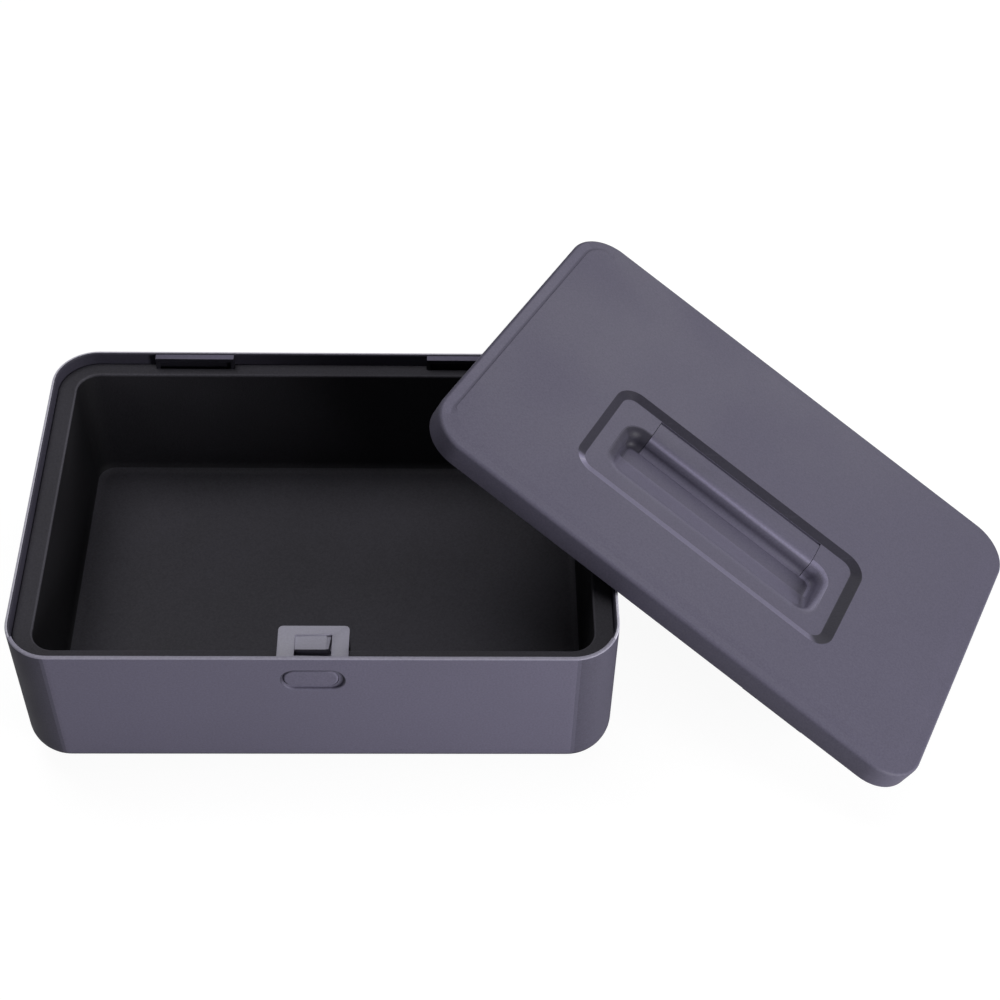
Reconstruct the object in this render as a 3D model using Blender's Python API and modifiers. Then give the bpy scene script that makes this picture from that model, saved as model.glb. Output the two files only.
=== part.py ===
# Household tool box with a lift-off lid, a flush hinged grip and a push-button latch.
# The box stands on z = 0 with its front towards -Y. The lid leans beside it on +X.
import math

import bmesh
import bpy
from mathutils import Euler, Matrix, Vector

# Box shell
box_length = 0.330
box_depth = 0.231
shell_height = 0.102
corner_radius = 0.0255
bottom_radius = 0.018
wall = 0.0024
plinth_height = 0.004
plinth_inset = 0.020
plinth_radius = 0.010
rim_z = plinth_height + shell_height
inner_half_length = box_length / 2 - wall
inner_half_depth = box_depth / 2 - wall
front_y = -box_depth / 2

# Shared clearances
seat_gap = 0.0003
pin_clearance = 0.0001
overrun = 0.002
overlap = 0.001
skim = 0.0001
near = 0.00001
weld_distance = 0.000001

# Liner: a tray with a ledge round its top
ledge_drop = 0.008
ledge_z = rim_z - ledge_drop
liner_wall = 0.0015
cavity_side = 0.0134
cavity_end = 0.0121
cavity_length = box_length - 2 * cavity_side
cavity_depth = box_depth - 2 * cavity_end
cavity_radius = 0.0127
cavity_lift = 0.011
cavity_floor_z = plinth_height + cavity_lift
cavity_floor_radius = 0.006
standoff_radius = 0.007
standoff_side = 0.0416
standoff_end = 0.0434
standoff_x = cavity_length / 2 - standoff_side
standoff_y = cavity_depth / 2 - standoff_end
ledge_length = box_length - 2 * (wall + seat_gap)
ledge_depth = box_depth - 2 * (wall + seat_gap)
ledge_radius = corner_radius - wall - seat_gap

# Hinge keepers on the rear wall: hooks in the lid reach under their flanges
keeper_side = 0.083
keeper_x = box_length / 2 - keeper_side
keeper_width = 0.047
keeper_depth = 0.0038
keeper_back = 0.0012
keeper_height = 0.016
keeper_flange = 0.0026
keeper_cheek = 0.002
keeper_pocket_floor = 0.0035
lug_drop = 0.030
lug_thickness = 0.002
lug_overlap = 0.003
pad_depth = 0.0046
pad_drop = 0.032
keeper_screw_drop = 0.023
keeper_screw_x = 0.015
keeper_low_z = rim_z - keeper_height
keeper_pocket_low_z = keeper_low_z + keeper_pocket_floor
lug_low_z = rim_z - lug_drop
lug_overlap_z = keeper_low_z + lug_overlap
pad_low_z = rim_z - pad_drop
keeper_screw_z = rim_z - keeper_screw_drop
keeper_rear_y = inner_half_depth - seat_gap
keeper_front_y = keeper_rear_y - keeper_depth
pad_front_y = inner_half_depth - pad_depth
lug_rear_y = pad_front_y - seat_gap
lug_front_y = lug_rear_y - lug_thickness

# Push button in its oval recess on the front wall
button_drop = 0.019
button_z = rim_z - button_drop
recess_width = 0.0342
recess_height = 0.017
recess_depth = 0.0026
button_width = 0.0296
button_height = 0.014
button_inset = 0.0008
button_hole_gap = 0.0003
button_flange_width = 0.0332
button_flange_height = 0.011
button_flange_thickness = 0.0015
boss_half_width = 0.030
boss_below = 0.0115
boss_low_z = button_z - boss_below
boss_high_z = ledge_z - liner_wall - seat_gap
boss_thickness = 0.0018
boss_y = -inner_half_depth + boss_thickness
flange_front_y = boss_y + seat_gap
flange_rear_y = flange_front_y + button_flange_thickness

# Latch: housing, cover plate, slider with its catch tongue, two springs
plate_half_width = 0.01925
plate_run = 0.0243
plate_drop = 0.006
plate_thickness = 0.001
plate_radius = 0.0025
plate_front_y = seat_gap - inner_half_depth
plate_rear_y = plate_front_y + plate_run
plate_top_z = rim_z - plate_drop
window_half_width = 0.010
window_start = 0.004
window_run = 0.0142
window_front_y = plate_front_y + window_start
window_rear_y = window_front_y + window_run
housing_half_width = 0.0189
housing_wall = 0.0015
housing_below = 0.0125
housing_rear_y = plate_rear_y - seat_gap
housing_low_z = button_z - housing_below
housing_high_z = plate_top_z - plate_thickness - seat_gap
ear_half_width = 0.0285
ear_thickness = 0.002
ear_half_height = 0.008
ear_screw_x = 0.0236
slider_half_width = 0.0168
slider_below = 0.0075
slider_above = 0.0045
slider_run = 0.0098
slider_low_z = button_z - slider_below
slider_shelf_z = button_z + slider_above
slider_front_y = flange_rear_y + seat_gap
slider_rear_y = slider_front_y + slider_run
arm_depth = 0.002
arm_front_y = slider_rear_y - arm_depth
tongue_half_width = 0.0096
tongue_ahead = 0.0041
tongue_run = 0.0117
tongue_lift = 0.004
tongue_front_y = arm_front_y - tongue_ahead
tongue_rear_y = tongue_front_y + tongue_run
tongue_top_z = housing_high_z - seat_gap
tongue_low_z = slider_shelf_z + tongue_lift
tongue_chamfer = 0.0008
tongue_taper = 0.0016
spring_x = 0.0105
spring_below = 0.0015
spring_z = button_z - spring_below
spring_coil_radius = 0.0022
spring_wire_radius = 0.0004
spring_turns = 5
spring_points_per_turn = 10
socket_radius = 0.0031
socket_depth = 0.003

# Lid shell, in the lid's own frame: origin on the top face, -y at the hinge side
lid_height = 0.014
lid_edge_radius = 0.002
border_width = 0.007
border_step = 0.0005
lid_plate = 0.0024
lid_skirt = 0.0024
panel_inset = 0.0032
panel_thickness = 0.0019
lip_drop = 0.0025
panel_low_z = -lid_height - lip_drop
panel_high_z = panel_low_z + panel_thickness
panel_rib_height = 0.0026
panel_rib_width = 0.002
tub_low_z = panel_high_z + seat_gap

# Handle dish, well, trough and grip
dish_half_length = 0.0897
dish_margin = 0.0485
dish_width = 0.0812
dish_front_y = dish_margin - box_depth / 2
dish_rear_y = dish_front_y + dish_width
dish_depth = 0.003
dish_radius = 0.014
dish_slope_run = 0.0064
dish_floor_shift_x = -0.0008
dish_floor_shift_y = 0.0016
tub_wall = 0.0018
grip_half_length = 0.0586
grip_width = 0.0201
grip_plate = 0.0026
grip_nose_radius = 0.006
grip_nose_drop = 0.0014
knuckle_radius = 0.0032
well_half_length = grip_half_length + seat_gap
well_rear_y = dish_rear_y - dish_slope_run + dish_floor_shift_y
grip_rear_y = well_rear_y - seat_gap
grip_front_y = grip_rear_y - grip_width
knuckle_y = grip_rear_y - knuckle_radius
knuckle_z = -dish_depth - knuckle_radius
well_floor_z = knuckle_z - knuckle_radius - seat_gap
finger_room = 0.002
hollow_front_y = grip_front_y - finger_room
hollow_rear_y = grip_front_y + grip_nose_radius
trough_half_length = 0.075
trough_margin = 0.015
trough_depth = 0.010
trough_front_y = dish_front_y + trough_margin
trough_rear_y = grip_front_y + grip_nose_radius
trough_low_z = -dish_depth - trough_depth
trough_corner = 0.014
trough_mouth = grip_nose_radius
trough_round = trough_depth - trough_mouth
trough_ramp_share = 0.55
trough_ramp = trough_ramp_share * (trough_rear_y - trough_front_y)
trough_least_share = 0.08
trough_tub_inset = 0.0022
pin_radius = 0.0015
pin_bury = 0.004
lug_block_wall = 0.0071
lug_block_end = well_half_length + lug_block_wall

# Hooks under the lid, in a frame turned half round: +y at the hinge side
tongue_plate_half = 0.020
tongue_plate_run = 0.0193
tongue_plate_thickness = 0.003
tongue_end_gap = 0.0015
tongue_tip_run = 0.0033
tongue_play = 0.0005
tongue_tip = 0.0009
tongue_ramp = 0.0018
tongue_reach_y = keeper_rear_y - tongue_end_gap
tongue_plate_front_y = tongue_reach_y - tongue_plate_run
tongue_step_y = tongue_reach_y - tongue_tip_run
tip_z = -lid_height - keeper_flange - tongue_play
hook_plate_half = 0.014
hook_plate_run = 0.0179
hook_plate_thickness = 0.0022
hook_leg_half = 0.0075
hook_leg_start = 0.0009
hook_leg_thickness = 0.0018
hook_barb_reach = 0.0026
hook_barb_height = 0.0024
hook_barb_ramp = 0.0014
hook_catch_gap = 0.0006
hook_front_y = window_front_y + hook_leg_start
hook_plate_rear_y = hook_front_y + hook_plate_run
hook_barb_top_z = tongue_low_z - rim_z - lid_height - hook_catch_gap
hook_low_z = hook_barb_top_z - hook_barb_height

# Screws
screw_shank_radius = 0.0013
screw_head_radius = 0.0027
screw_head_depth = 0.0014
screw_head_edge = 0.0002
screw_point = 0.0012
screw_hole_gap = 0.0002
screw_slot_width = 0.0007
screw_slot_length = 0.0032
screw_slot_depth = 0.0008
keeper_screw_length = 0.0058
ear_screw_length = 0.0049
lid_screw_length = 0.0085
hook_screw_length = 0.0100
lid_boss_radius = 0.0042
lid_boss_side = 0.025
lid_boss_end = 0.0275
lid_boss_x = box_length / 2 - lid_boss_side
lid_boss_y = box_depth / 2 - lid_boss_end
tongue_screw_x = 0.011
tongue_screw_back = 0.0133
tongue_screw_y = tongue_reach_y - tongue_screw_back
hook_screw_x = 0.0105
hook_screw_back = 0.0124
hook_screw_y = hook_front_y + hook_screw_back
rear_panel_notch_y = keeper_front_y - seat_gap

# How the lid leans: its latch-side corner is on the floor and the hinge-side edge
# of its panel is on the box's right rim at lean_rim_y. That edge meets the rim at
# lean_touch_room from the middle of a tongue, which sets the lean about Y.
lean_x_deg = -10.4
lean_z_deg = -30.6
least_lean_deg = 5
most_lean_deg = 60
lean_tries = 40
lean_touch_room = 0.0574557
lean_rim_from_front = 0.046
lean_rim_y = front_y + lean_rim_from_front
lean_gap = 0.0003

# Numbers of facets
corner_steps = 8
round_steps = 5
small_steps = 3
turned_steps = 16
hole_sides = 16
knuckle_steps = 12
tube_resolution = 2
knuckle_end_deg = -165
smooth_deg = 35

plastic_colour = (0.120, 0.113, 0.155)
plate_colour = (0.150, 0.145, 0.190)
liner_colour = (0.022, 0.021, 0.026)
dark_plastic_colour = (0.030, 0.029, 0.036)
steel_colour = (0.42, 0.42, 0.44)
spring_colour = (0.55, 0.55, 0.57)
plastic_roughness = 0.45
liner_roughness = 0.7
dark_roughness = 0.55
steel_roughness = 0.35


def clear_scene():
    for thing in list(bpy.data.objects):
        bpy.data.objects.remove(thing, do_unlink=True)
    for group in list(bpy.data.collections):
        bpy.data.collections.remove(group)


clear_scene()
parts_collection = bpy.data.collections.new("household_tool_box")
cutters_collection = bpy.data.collections.new("cutters")
bpy.context.scene.collection.children.link(parts_collection)
bpy.context.scene.collection.children.link(cutters_collection)


def finish(name, colour, roughness, metallic):
    # One Principled material per piece.
    material = bpy.data.materials.new(name)
    material.use_nodes = True
    shader = material.node_tree.nodes["Principled BSDF"]
    shader.inputs["Base Color"].default_value = (colour[0], colour[1], colour[2], 1)
    shader.inputs["Roughness"].default_value = roughness
    shader.inputs["Metallic"].default_value = metallic
    material.diffuse_color = (colour[0], colour[1], colour[2], 1)
    return material


def new_empty(name, parent, location):
    empty = bpy.data.objects.new(name, None)
    empty.location = location
    empty.parent = parent
    parts_collection.objects.link(empty)
    return empty


def new_object(name, mesh, parent, is_cutter):
    thing = bpy.data.objects.new(name, mesh)
    thing.parent = parent
    if is_cutter:
        cutters_collection.objects.link(thing)
        thing.hide_render = True
        thing.display_type = "WIRE"
    else:
        parts_collection.objects.link(thing)
    return thing


def mesh_of(name, bm):
    bmesh.ops.recalc_face_normals(bm, faces=bm.faces)
    mesh = bpy.data.meshes.new(name)
    bm.to_mesh(mesh)
    bm.free()
    return mesh


def bevel(bm, edges, radius, steps):
    bmesh.ops.bevel(
        bm, geom=edges, offset=radius, offset_type="OFFSET", segments=steps,
        profile=0.5, affect="EDGES", clamp_overlap=False)


def edges_at(bm, level):
    # Edges that lie wholly at one height.
    found = []
    for edge in bm.edges:
        if all(abs(vert.co.z - level) < near for vert in edge.verts):
            found.append(edge)
    return found


def block_mesh(low, high, corner=0, bottom=0, top=0, axis="Z", steps=corner_steps):
    # A block between two corners. Its four edges along the axis may be rounded,
    # and then the edges of its low and high end.
    size = [high[i] - low[i] for i in range(3)]
    centre = [(high[i] + low[i]) / 2 for i in range(3)]
    turn = Matrix.Identity(3)
    if axis == "Y":
        turn = Matrix.Rotation(math.pi / 2, 3, "X")
        size = [size[0], size[2], size[1]]
    if axis == "X":
        turn = Matrix.Rotation(math.pi / 2, 3, "Y")
        size = [size[2], size[1], size[0]]
    bm = bmesh.new()
    bmesh.ops.create_cube(bm, size=1)
    bmesh.ops.scale(bm, vec=size, verts=bm.verts)
    half_height = size[2] / 2
    if corner:
        upright = [e for e in bm.edges if abs(e.verts[0].co.z - e.verts[1].co.z) > half_height]
        bevel(bm, upright, corner, steps)
    if bottom:
        bevel(bm, edges_at(bm, -half_height), bottom, round_steps)
    if top:
        bevel(bm, edges_at(bm, half_height), top, small_steps)
    bmesh.ops.rotate(bm, matrix=turn, verts=bm.verts)
    bmesh.ops.translate(bm, vec=centre, verts=bm.verts)
    return bm


def inset_bottom(bm, steps, shift):
    # Carries on a block's bottom face by steps of (inwards, downwards), then shifts it.
    bm.faces.ensure_lookup_table()
    bottom = min(bm.faces, key=lambda face: face.calc_center_median().z)
    for inward, along in steps:
        bmesh.ops.inset_region(
            bm, faces=[bottom], thickness=inward, depth=along, use_even_offset=True,
            use_boundary=True)
    bmesh.ops.translate(bm, vec=shift, verts=bottom.verts)


def block(name, parent, low, high, is_cutter=False, **rounding):
    bm = block_mesh(low, high, **rounding)
    return new_object(name, mesh_of(name, bm), parent, is_cutter)


def centred_block(name, parent, half_x, half_y, low_z, high_z, is_cutter=False, **rounding):
    low = (-half_x, -half_y, low_z)
    high = (half_x, half_y, high_z)
    return block(name, parent, low, high, is_cutter, **rounding)


def cylinder(name, parent, radius, start, end, is_cutter=False, sides=hole_sides):
    start = Vector(start)
    end = Vector(end)
    along = end - start
    bm = bmesh.new()
    bmesh.ops.create_cone(
        bm, cap_ends=True, segments=sides, radius1=radius, radius2=radius, depth=along.length)
    turn = Vector((0, 0, 1)).rotation_difference(along).to_matrix()
    bmesh.ops.rotate(bm, matrix=turn, verts=bm.verts)
    bmesh.ops.translate(bm, vec=(start + end) / 2, verts=bm.verts)
    return new_object(name, mesh_of(name, bm), parent, is_cutter)


def boolean(target, tool, operation):
    modifier = target.modifiers.new(operation.lower() + "_" + tool.name, "BOOLEAN")
    modifier.operation = operation
    modifier.solver = "EXACT"
    modifier.object = tool


def cut(target, tool):
    boolean(target, tool, "DIFFERENCE")


def join(target, tool):
    boolean(target, tool, "UNION")


def extruded_mesh(name, outline, half_length):
    # A closed outline in (y, z), filled and run along x by half_length each way.
    curve = bpy.data.curves.new(name, "CURVE")
    curve.dimensions = "2D"
    curve.fill_mode = "BOTH"
    curve.extrude = half_length
    spline = curve.splines.new("POLY")
    spline.points.add(len(outline) - 1)
    for point, place in zip(spline.points, outline):
        point.co = (place[0], place[1], 0, 1)
    spline.use_cyclic_u = True
    holder = bpy.data.objects.new(name + "_outline", curve)
    cutters_collection.objects.link(holder)
    bpy.context.view_layer.update()
    seen = holder.evaluated_get(bpy.context.evaluated_depsgraph_get())
    mesh = bpy.data.meshes.new_from_object(seen)
    bpy.data.objects.remove(holder, do_unlink=True)
    bm = bmesh.new()
    bm.from_mesh(mesh)
    bmesh.ops.remove_doubles(bm, verts=bm.verts, dist=weld_distance)
    # Curve x, y, z become the part's y, z, x.
    turn = Matrix(((0, 0, 1), (1, 0, 0), (0, 1, 0)))
    bmesh.ops.transform(bm, matrix=turn.to_4x4(), verts=bm.verts)
    return mesh_of(name, bm)


def arc(centre, radius, start_deg, end_deg, steps):
    points = []
    for step in range(steps + 1):
        angle = math.radians(start_deg + (end_deg - start_deg) * step / steps)
        points.append((centre[0] + radius * math.cos(angle), centre[1] + radius * math.sin(angle)))
    return points


def baked_mesh(thing, name):
    # The mesh of an object with its modifiers worked in.
    bpy.context.view_layer.update()
    seen = thing.evaluated_get(bpy.context.evaluated_depsgraph_get())
    mesh = bpy.data.meshes.new_from_object(seen)
    mesh.name = name
    return mesh


def smooth(thing):
    thing.data.shade_smooth()
    thing.data.set_sharp_from_angle(angle=math.radians(smooth_deg))


def turned_object(name, profile):
    # A profile of (radius, height) points turned about Z.
    mesh = bpy.data.meshes.new(name)
    verts = [(place[0], 0, place[1]) for place in profile]
    edges = [(i, i + 1) for i in range(len(profile) - 1)]
    mesh.from_pydata(verts, edges, [])
    blank = new_object(name, mesh, None, True)
    turned = blank.modifiers.new("turned", "SCREW")
    turned.axis = "Z"
    turned.angle = 2 * math.pi
    turned.steps = turned_steps
    turned.render_steps = turned_steps
    turned.use_merge_vertices = True
    turned.merge_threshold = near
    return blank


def screw_mesh(name, length):
    # A countersunk screw: head face at z = 0, point down, a cross cut in the head.
    blank = turned_object(name + "_blank", [
        (0, 0),
        (screw_head_radius, 0),
        (screw_head_radius, -screw_head_edge),
        (screw_shank_radius, -screw_head_depth),
        (screw_shank_radius, screw_point - length),
        (0, -length),
    ])
    half_width = screw_slot_width / 2
    half_length = screw_slot_length / 2
    for index, halves in enumerate(((half_length, half_width), (half_width, half_length))):
        slot = centred_block(
            name + "_slot_" + str(index), None, halves[0], halves[1],
            -screw_slot_depth, overrun, True)
        cut(blank, slot)
    return baked_mesh(blank, name)


def place_screw(name, mesh, parent, head_centre, out):
    # The screw's head face sits at head_centre and looks along out.
    screw = new_object(name, mesh.copy(), parent, False)
    screw.location = head_centre
    screw.rotation_mode = "QUATERNION"
    screw.rotation_quaternion = Vector((0, 0, 1)).rotation_difference(Vector(out))
    screw.data.materials.clear()
    screw.data.materials.append(finish(name, steel_colour, steel_roughness, 1))
    smooth(screw)
    return screw


def screw_hole(target, parent, name, head_centre, out, length, countersunk):
    # Clearance for a screw placed with the same values.
    narrow = screw_shank_radius + screw_hole_gap
    wide = screw_head_radius + screw_hole_gap if countersunk else narrow
    deep = length + screw_hole_gap
    profile = [(0, overrun), (wide, overrun)]
    if countersunk:
        profile += [(wide, -screw_head_edge), (narrow, -screw_head_depth - screw_hole_gap)]
    profile += [(narrow, -deep), (0, -deep)]
    blank = turned_object(name + "_blank", profile)
    bm = bmesh.new()
    bm.from_mesh(baked_mesh(blank, name + "_turned"))
    bpy.data.objects.remove(blank, do_unlink=True)
    hole = new_object(name + "_hole", mesh_of(name + "_hole", bm), parent, True)
    hole.location = head_centre
    hole.rotation_mode = "QUATERNION"
    hole.rotation_quaternion = Vector((0, 0, 1)).rotation_difference(Vector(out))
    cut(target, hole)


def coat(thing, colour, roughness, metallic=0):
    thing.data.materials.clear()
    thing.data.materials.append(finish(thing.name, colour, roughness, metallic))
    smooth(thing)


# Box: the shell with its plinth
base_frame = new_empty("base_frame", None, (0, 0, 0))
base_shell = centred_block(
    "base_shell", base_frame, box_length / 2, box_depth / 2, plinth_height, rim_z,
    corner=corner_radius, bottom=bottom_radius)
plinth_half_x = box_length / 2 - plinth_inset
plinth_half_y = box_depth / 2 - plinth_inset
join(base_shell, centred_block(
    "plinth", base_frame, plinth_half_x, plinth_half_y, 0, plinth_height + overlap, True,
    corner=plinth_radius, steps=small_steps))
cut(base_shell, centred_block(
    "shell_inside", base_frame, inner_half_length, inner_half_depth,
    plinth_height + wall, rim_z + bottom_radius, True,
    corner=corner_radius - wall, bottom=bottom_radius - wall))
cut(base_shell, centred_block(
    "plinth_inside", base_frame, plinth_half_x - wall, plinth_half_y - wall,
    wall, plinth_height + wall + overrun, True, corner=plinth_radius - wall, steps=small_steps))
sides = (("left", -1), ("right", 1))
for side, sign in sides:
    pad_low = (sign * keeper_x - keeper_width / 2, pad_front_y, pad_low_z)
    pad_high = (sign * keeper_x + keeper_width / 2, inner_half_depth + overlap,
                keeper_low_z - seat_gap)
    join(base_shell, block("keeper_pad_" + side, base_frame, pad_low, pad_high, True))
join(base_shell, block(
    "latch_boss", base_frame, (-boss_half_width, -inner_half_depth - overlap, boss_low_z),
    (boss_half_width, boss_y, boss_high_z), True))
cut(base_shell, block(
    "button_recess", base_frame,
    (-recess_width / 2, front_y - overrun, button_z - recess_height / 2),
    (recess_width / 2, front_y + recess_depth, button_z + recess_height / 2), True,
    corner=recess_height / 2 - near, axis="Y"))
hole_half_width = button_width / 2 + button_hole_gap
hole_half_height = button_height / 2 + button_hole_gap
cut(base_shell, block(
    "button_hole", base_frame,
    (-hole_half_width, front_y - overrun, button_z - hole_half_height),
    (hole_half_width, boss_y + overrun, button_z + hole_half_height), True,
    corner=hole_half_height - near, axis="Y"))

# Liner: tray and ledge in one moulding, on four standoffs
liner = centred_block(
    "liner", base_frame, cavity_length / 2 + liner_wall, cavity_depth / 2 + liner_wall,
    cavity_floor_z - liner_wall, ledge_z - overlap, corner=cavity_radius + liner_wall,
    bottom=cavity_floor_radius + liner_wall)
join(liner, centred_block(
    "ledge", base_frame, ledge_length / 2, ledge_depth / 2, ledge_z - liner_wall, ledge_z, True,
    corner=ledge_radius))
for column in (-1, 1):
    for row in (-1, 1):
        place = (column * standoff_x, row * standoff_y)
        join(liner, cylinder(
            "standoff_%d_%d" % (column, row), base_frame, standoff_radius,
            (place[0], place[1], wall + seat_gap), (place[0], place[1], cavity_floor_z - overlap),
            True))
cut(liner, centred_block(
    "cavity", base_frame, cavity_length / 2, cavity_depth / 2, cavity_floor_z,
    ledge_z + cavity_floor_radius, True, corner=cavity_radius, bottom=cavity_floor_radius))
for side, sign in sides:
    notch_half = keeper_width / 2 + seat_gap
    cut(liner, block(
        "keeper_notch_" + side, base_frame,
        (sign * keeper_x - notch_half, keeper_front_y - seat_gap, ledge_z - overrun - overlap),
        (sign * keeper_x + notch_half, inner_half_depth + overrun, ledge_z + overrun), True))
latch_notch_half = housing_half_width + seat_gap
cut(liner, block(
    "latch_notch", base_frame, (-latch_notch_half, front_y, housing_low_z - seat_gap),
    (latch_notch_half, housing_rear_y + overrun, ledge_z + overrun), True))

# Hinge keepers, each with a hollow that a hook of the lid reaches into
keeper_screw = screw_mesh("keeper_screw", keeper_screw_length)
keepers = []
keeper_outline = [
    (keeper_rear_y, rim_z),
    (keeper_front_y, rim_z),
    (keeper_front_y, lug_overlap_z),
    (lug_front_y, lug_overlap_z),
    (lug_front_y, lug_low_z),
    (lug_rear_y, lug_low_z),
    (lug_rear_y, keeper_low_z),
    (keeper_rear_y, keeper_low_z),
]
for side, sign in sides:
    middle = sign * keeper_x
    half = keeper_width / 2
    name = "hinge_keeper_" + side
    keeper = new_object(name, extruded_mesh(name, keeper_outline, half), base_frame, False)
    keeper.location = (middle, 0, 0)
    cut(keeper, block(
        "keeper_pocket_" + side, base_frame,
        (middle - half + keeper_cheek, keeper_front_y - overrun, keeper_pocket_low_z),
        (middle + half - keeper_cheek, keeper_rear_y - keeper_back, rim_z - keeper_flange), True))
    for end, step in (("outer", sign), ("inner", -sign)):
        head = (middle + step * keeper_screw_x, lug_front_y, keeper_screw_z)
        label = "keeper_screw_%s_%s" % (side, end)
        screw_hole(keeper, base_frame, label, head, (0, -1, 0), keeper_screw_length, True)
        screw_hole(base_shell, base_frame, label + "_shell", head, (0, -1, 0),
                   keeper_screw_length, False)
        place_screw(label, keeper_screw, base_frame, head, (0, -1, 0))
    keepers.append(keeper)

# Latch housing behind the front wall, its cover plate and its screws
latch_housing = block(
    "latch_housing", base_frame, (-housing_half_width, flange_front_y, housing_low_z),
    (housing_half_width, housing_rear_y, housing_high_z))
join(latch_housing, block(
    "housing_ears", base_frame, (-ear_half_width, flange_front_y, button_z - ear_half_height),
    (ear_half_width, flange_front_y + ear_thickness, button_z + ear_half_height), True))
cut(latch_housing, block(
    "housing_inside", base_frame,
    (-housing_half_width + housing_wall, flange_front_y - overrun, housing_low_z + housing_wall),
    (housing_half_width - housing_wall, housing_rear_y - housing_wall,
     housing_high_z + overrun), True))
ear_screw = screw_mesh("ear_screw", ear_screw_length)
for side, sign in sides:
    head = (sign * ear_screw_x, flange_front_y + ear_thickness, button_z)
    label = "latch_screw_" + side
    screw_hole(latch_housing, base_frame, label, head, (0, 1, 0), ear_screw_length, True)
    screw_hole(base_shell, base_frame, label + "_shell", head, (0, 1, 0), ear_screw_length, False)
    place_screw(label, ear_screw, base_frame, head, (0, 1, 0))
latch_plate = block(
    "latch_plate", base_frame, (-plate_half_width, plate_front_y, plate_top_z - plate_thickness),
    (plate_half_width, plate_rear_y, plate_top_z), corner=plate_radius, steps=small_steps)
cut(latch_plate, block(
    "plate_window", base_frame, (-window_half_width, window_front_y, housing_high_z),
    (window_half_width, window_rear_y, plate_top_z + overrun), True))

# Slider and button move together, on an empty in the middle of the button
button_frame = new_empty("button_frame", base_frame, (0, 0, 0))
latch_slider = block(
    "latch_slider", button_frame, (-slider_half_width, slider_front_y, slider_low_z),
    (slider_half_width, slider_rear_y, slider_shelf_z))
catch_outline = [
    (tongue_rear_y, slider_shelf_z - overlap),
    (tongue_rear_y, tongue_top_z),
    (tongue_front_y + tongue_chamfer, tongue_top_z),
    (tongue_front_y, tongue_top_z - tongue_chamfer),
    (tongue_front_y, tongue_low_z),
    (arm_front_y, tongue_low_z),
    (arm_front_y, slider_shelf_z - overlap),
]
catch_tongue = new_object(
    "catch_tongue", extruded_mesh("catch_tongue", catch_outline, tongue_half_width),
    button_frame, True)
taper_bm = block_mesh(
    (0, tongue_front_y - overrun, tongue_low_z - overlap),
    (tongue_taper, tongue_rear_y + overrun, tongue_top_z + overrun))
taper_length = tongue_rear_y - tongue_front_y
for vert in taper_bm.verts:
    if vert.co.x < tongue_taper / 2:
        vert.co.x += tongue_taper * (vert.co.y - tongue_front_y) / taper_length
    else:
        vert.co.x += tongue_taper
bmesh.ops.translate(taper_bm, vec=(tongue_half_width - tongue_taper, 0, 0), verts=taper_bm.verts)
taper = new_object("tongue_taper", mesh_of("tongue_taper", taper_bm), button_frame, True)
join(latch_slider, catch_tongue)
cut(latch_slider, taper)
for side, sign in sides:
    cut(latch_slider, cylinder(
        "spring_socket_" + side, button_frame, socket_radius,
        (sign * spring_x, slider_rear_y - socket_depth, spring_z),
        (sign * spring_x, slider_rear_y + overrun, spring_z), True))
push_button = block(
    "push_button", button_frame,
    (-button_width / 2, front_y + button_inset, button_z - button_height / 2),
    (button_width / 2, flange_front_y + overlap, button_z + button_height / 2),
    corner=button_height / 2 - near, top=overlap, axis="Y")
join(push_button, block(
    "button_flange", button_frame,
    (-button_flange_width / 2, flange_front_y, button_z - button_flange_height / 2),
    (button_flange_width / 2, flange_rear_y, button_z + button_flange_height / 2), True))


def coil(name, start, length):
    # A compression spring along +Y: one poly spline with a round section.
    curve = bpy.data.curves.new(name, "CURVE")
    curve.dimensions = "3D"
    curve.bevel_depth = spring_wire_radius
    curve.bevel_resolution = tube_resolution
    curve.use_fill_caps = True
    spline = curve.splines.new("POLY")
    count = spring_turns * spring_points_per_turn
    spline.points.add(count)
    places = []
    for index in range(count + 1):
        angle = 2 * math.pi * index / spring_points_per_turn
        places.append(Vector((
            start[0] + spring_coil_radius * math.cos(angle),
            start[1] + length * index / count,
            start[2] + spring_coil_radius * math.sin(angle))))
    for point, place in zip(spline.points, places):
        point.co = (place[0], place[1], place[2], 1)
    least = length
    for first in range(len(places)):
        for second in range(first + spring_points_per_turn // 2, len(places)):
            least = min(least, (places[first] - places[second]).length)
    print(name, "least gap to itself, m:", round(least - 2 * spring_wire_radius, 6))
    holder = new_object(name + "_path", curve, None, True)
    mesh = baked_mesh(holder, name)
    bpy.data.objects.remove(holder, do_unlink=True)
    bm = bmesh.new()
    bm.from_mesh(mesh)
    bmesh.ops.remove_doubles(bm, verts=bm.verts, dist=weld_distance)
    return mesh_of(name, bm)


spring_start_y = slider_rear_y - socket_depth + seat_gap + spring_wire_radius
spring_end_y = housing_rear_y - housing_wall - seat_gap - spring_wire_radius
springs = []
for side, sign in sides:
    mesh = coil(
        "latch_spring_" + side, (sign * spring_x, spring_start_y, spring_z),
        spring_end_y - spring_start_y)
    springs.append(new_object("latch_spring_" + side, mesh, base_frame, False))

# Lid: its frame leans against the box
touch_y = -(box_depth / 2 - panel_inset)
touch_z = panel_low_z


def drop_below(down, inset, under_z):
    # How far an outline inset from the lid's edge reaches below the lid's origin.
    straight_x = box_length / 2 - corner_radius
    straight_y = box_depth / 2 - corner_radius
    rounding = (corner_radius - inset) * math.hypot(down[0], down[1])
    return straight_x * abs(down[0]) + straight_y * abs(down[1]) + rounding - under_z * down[2]


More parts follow.
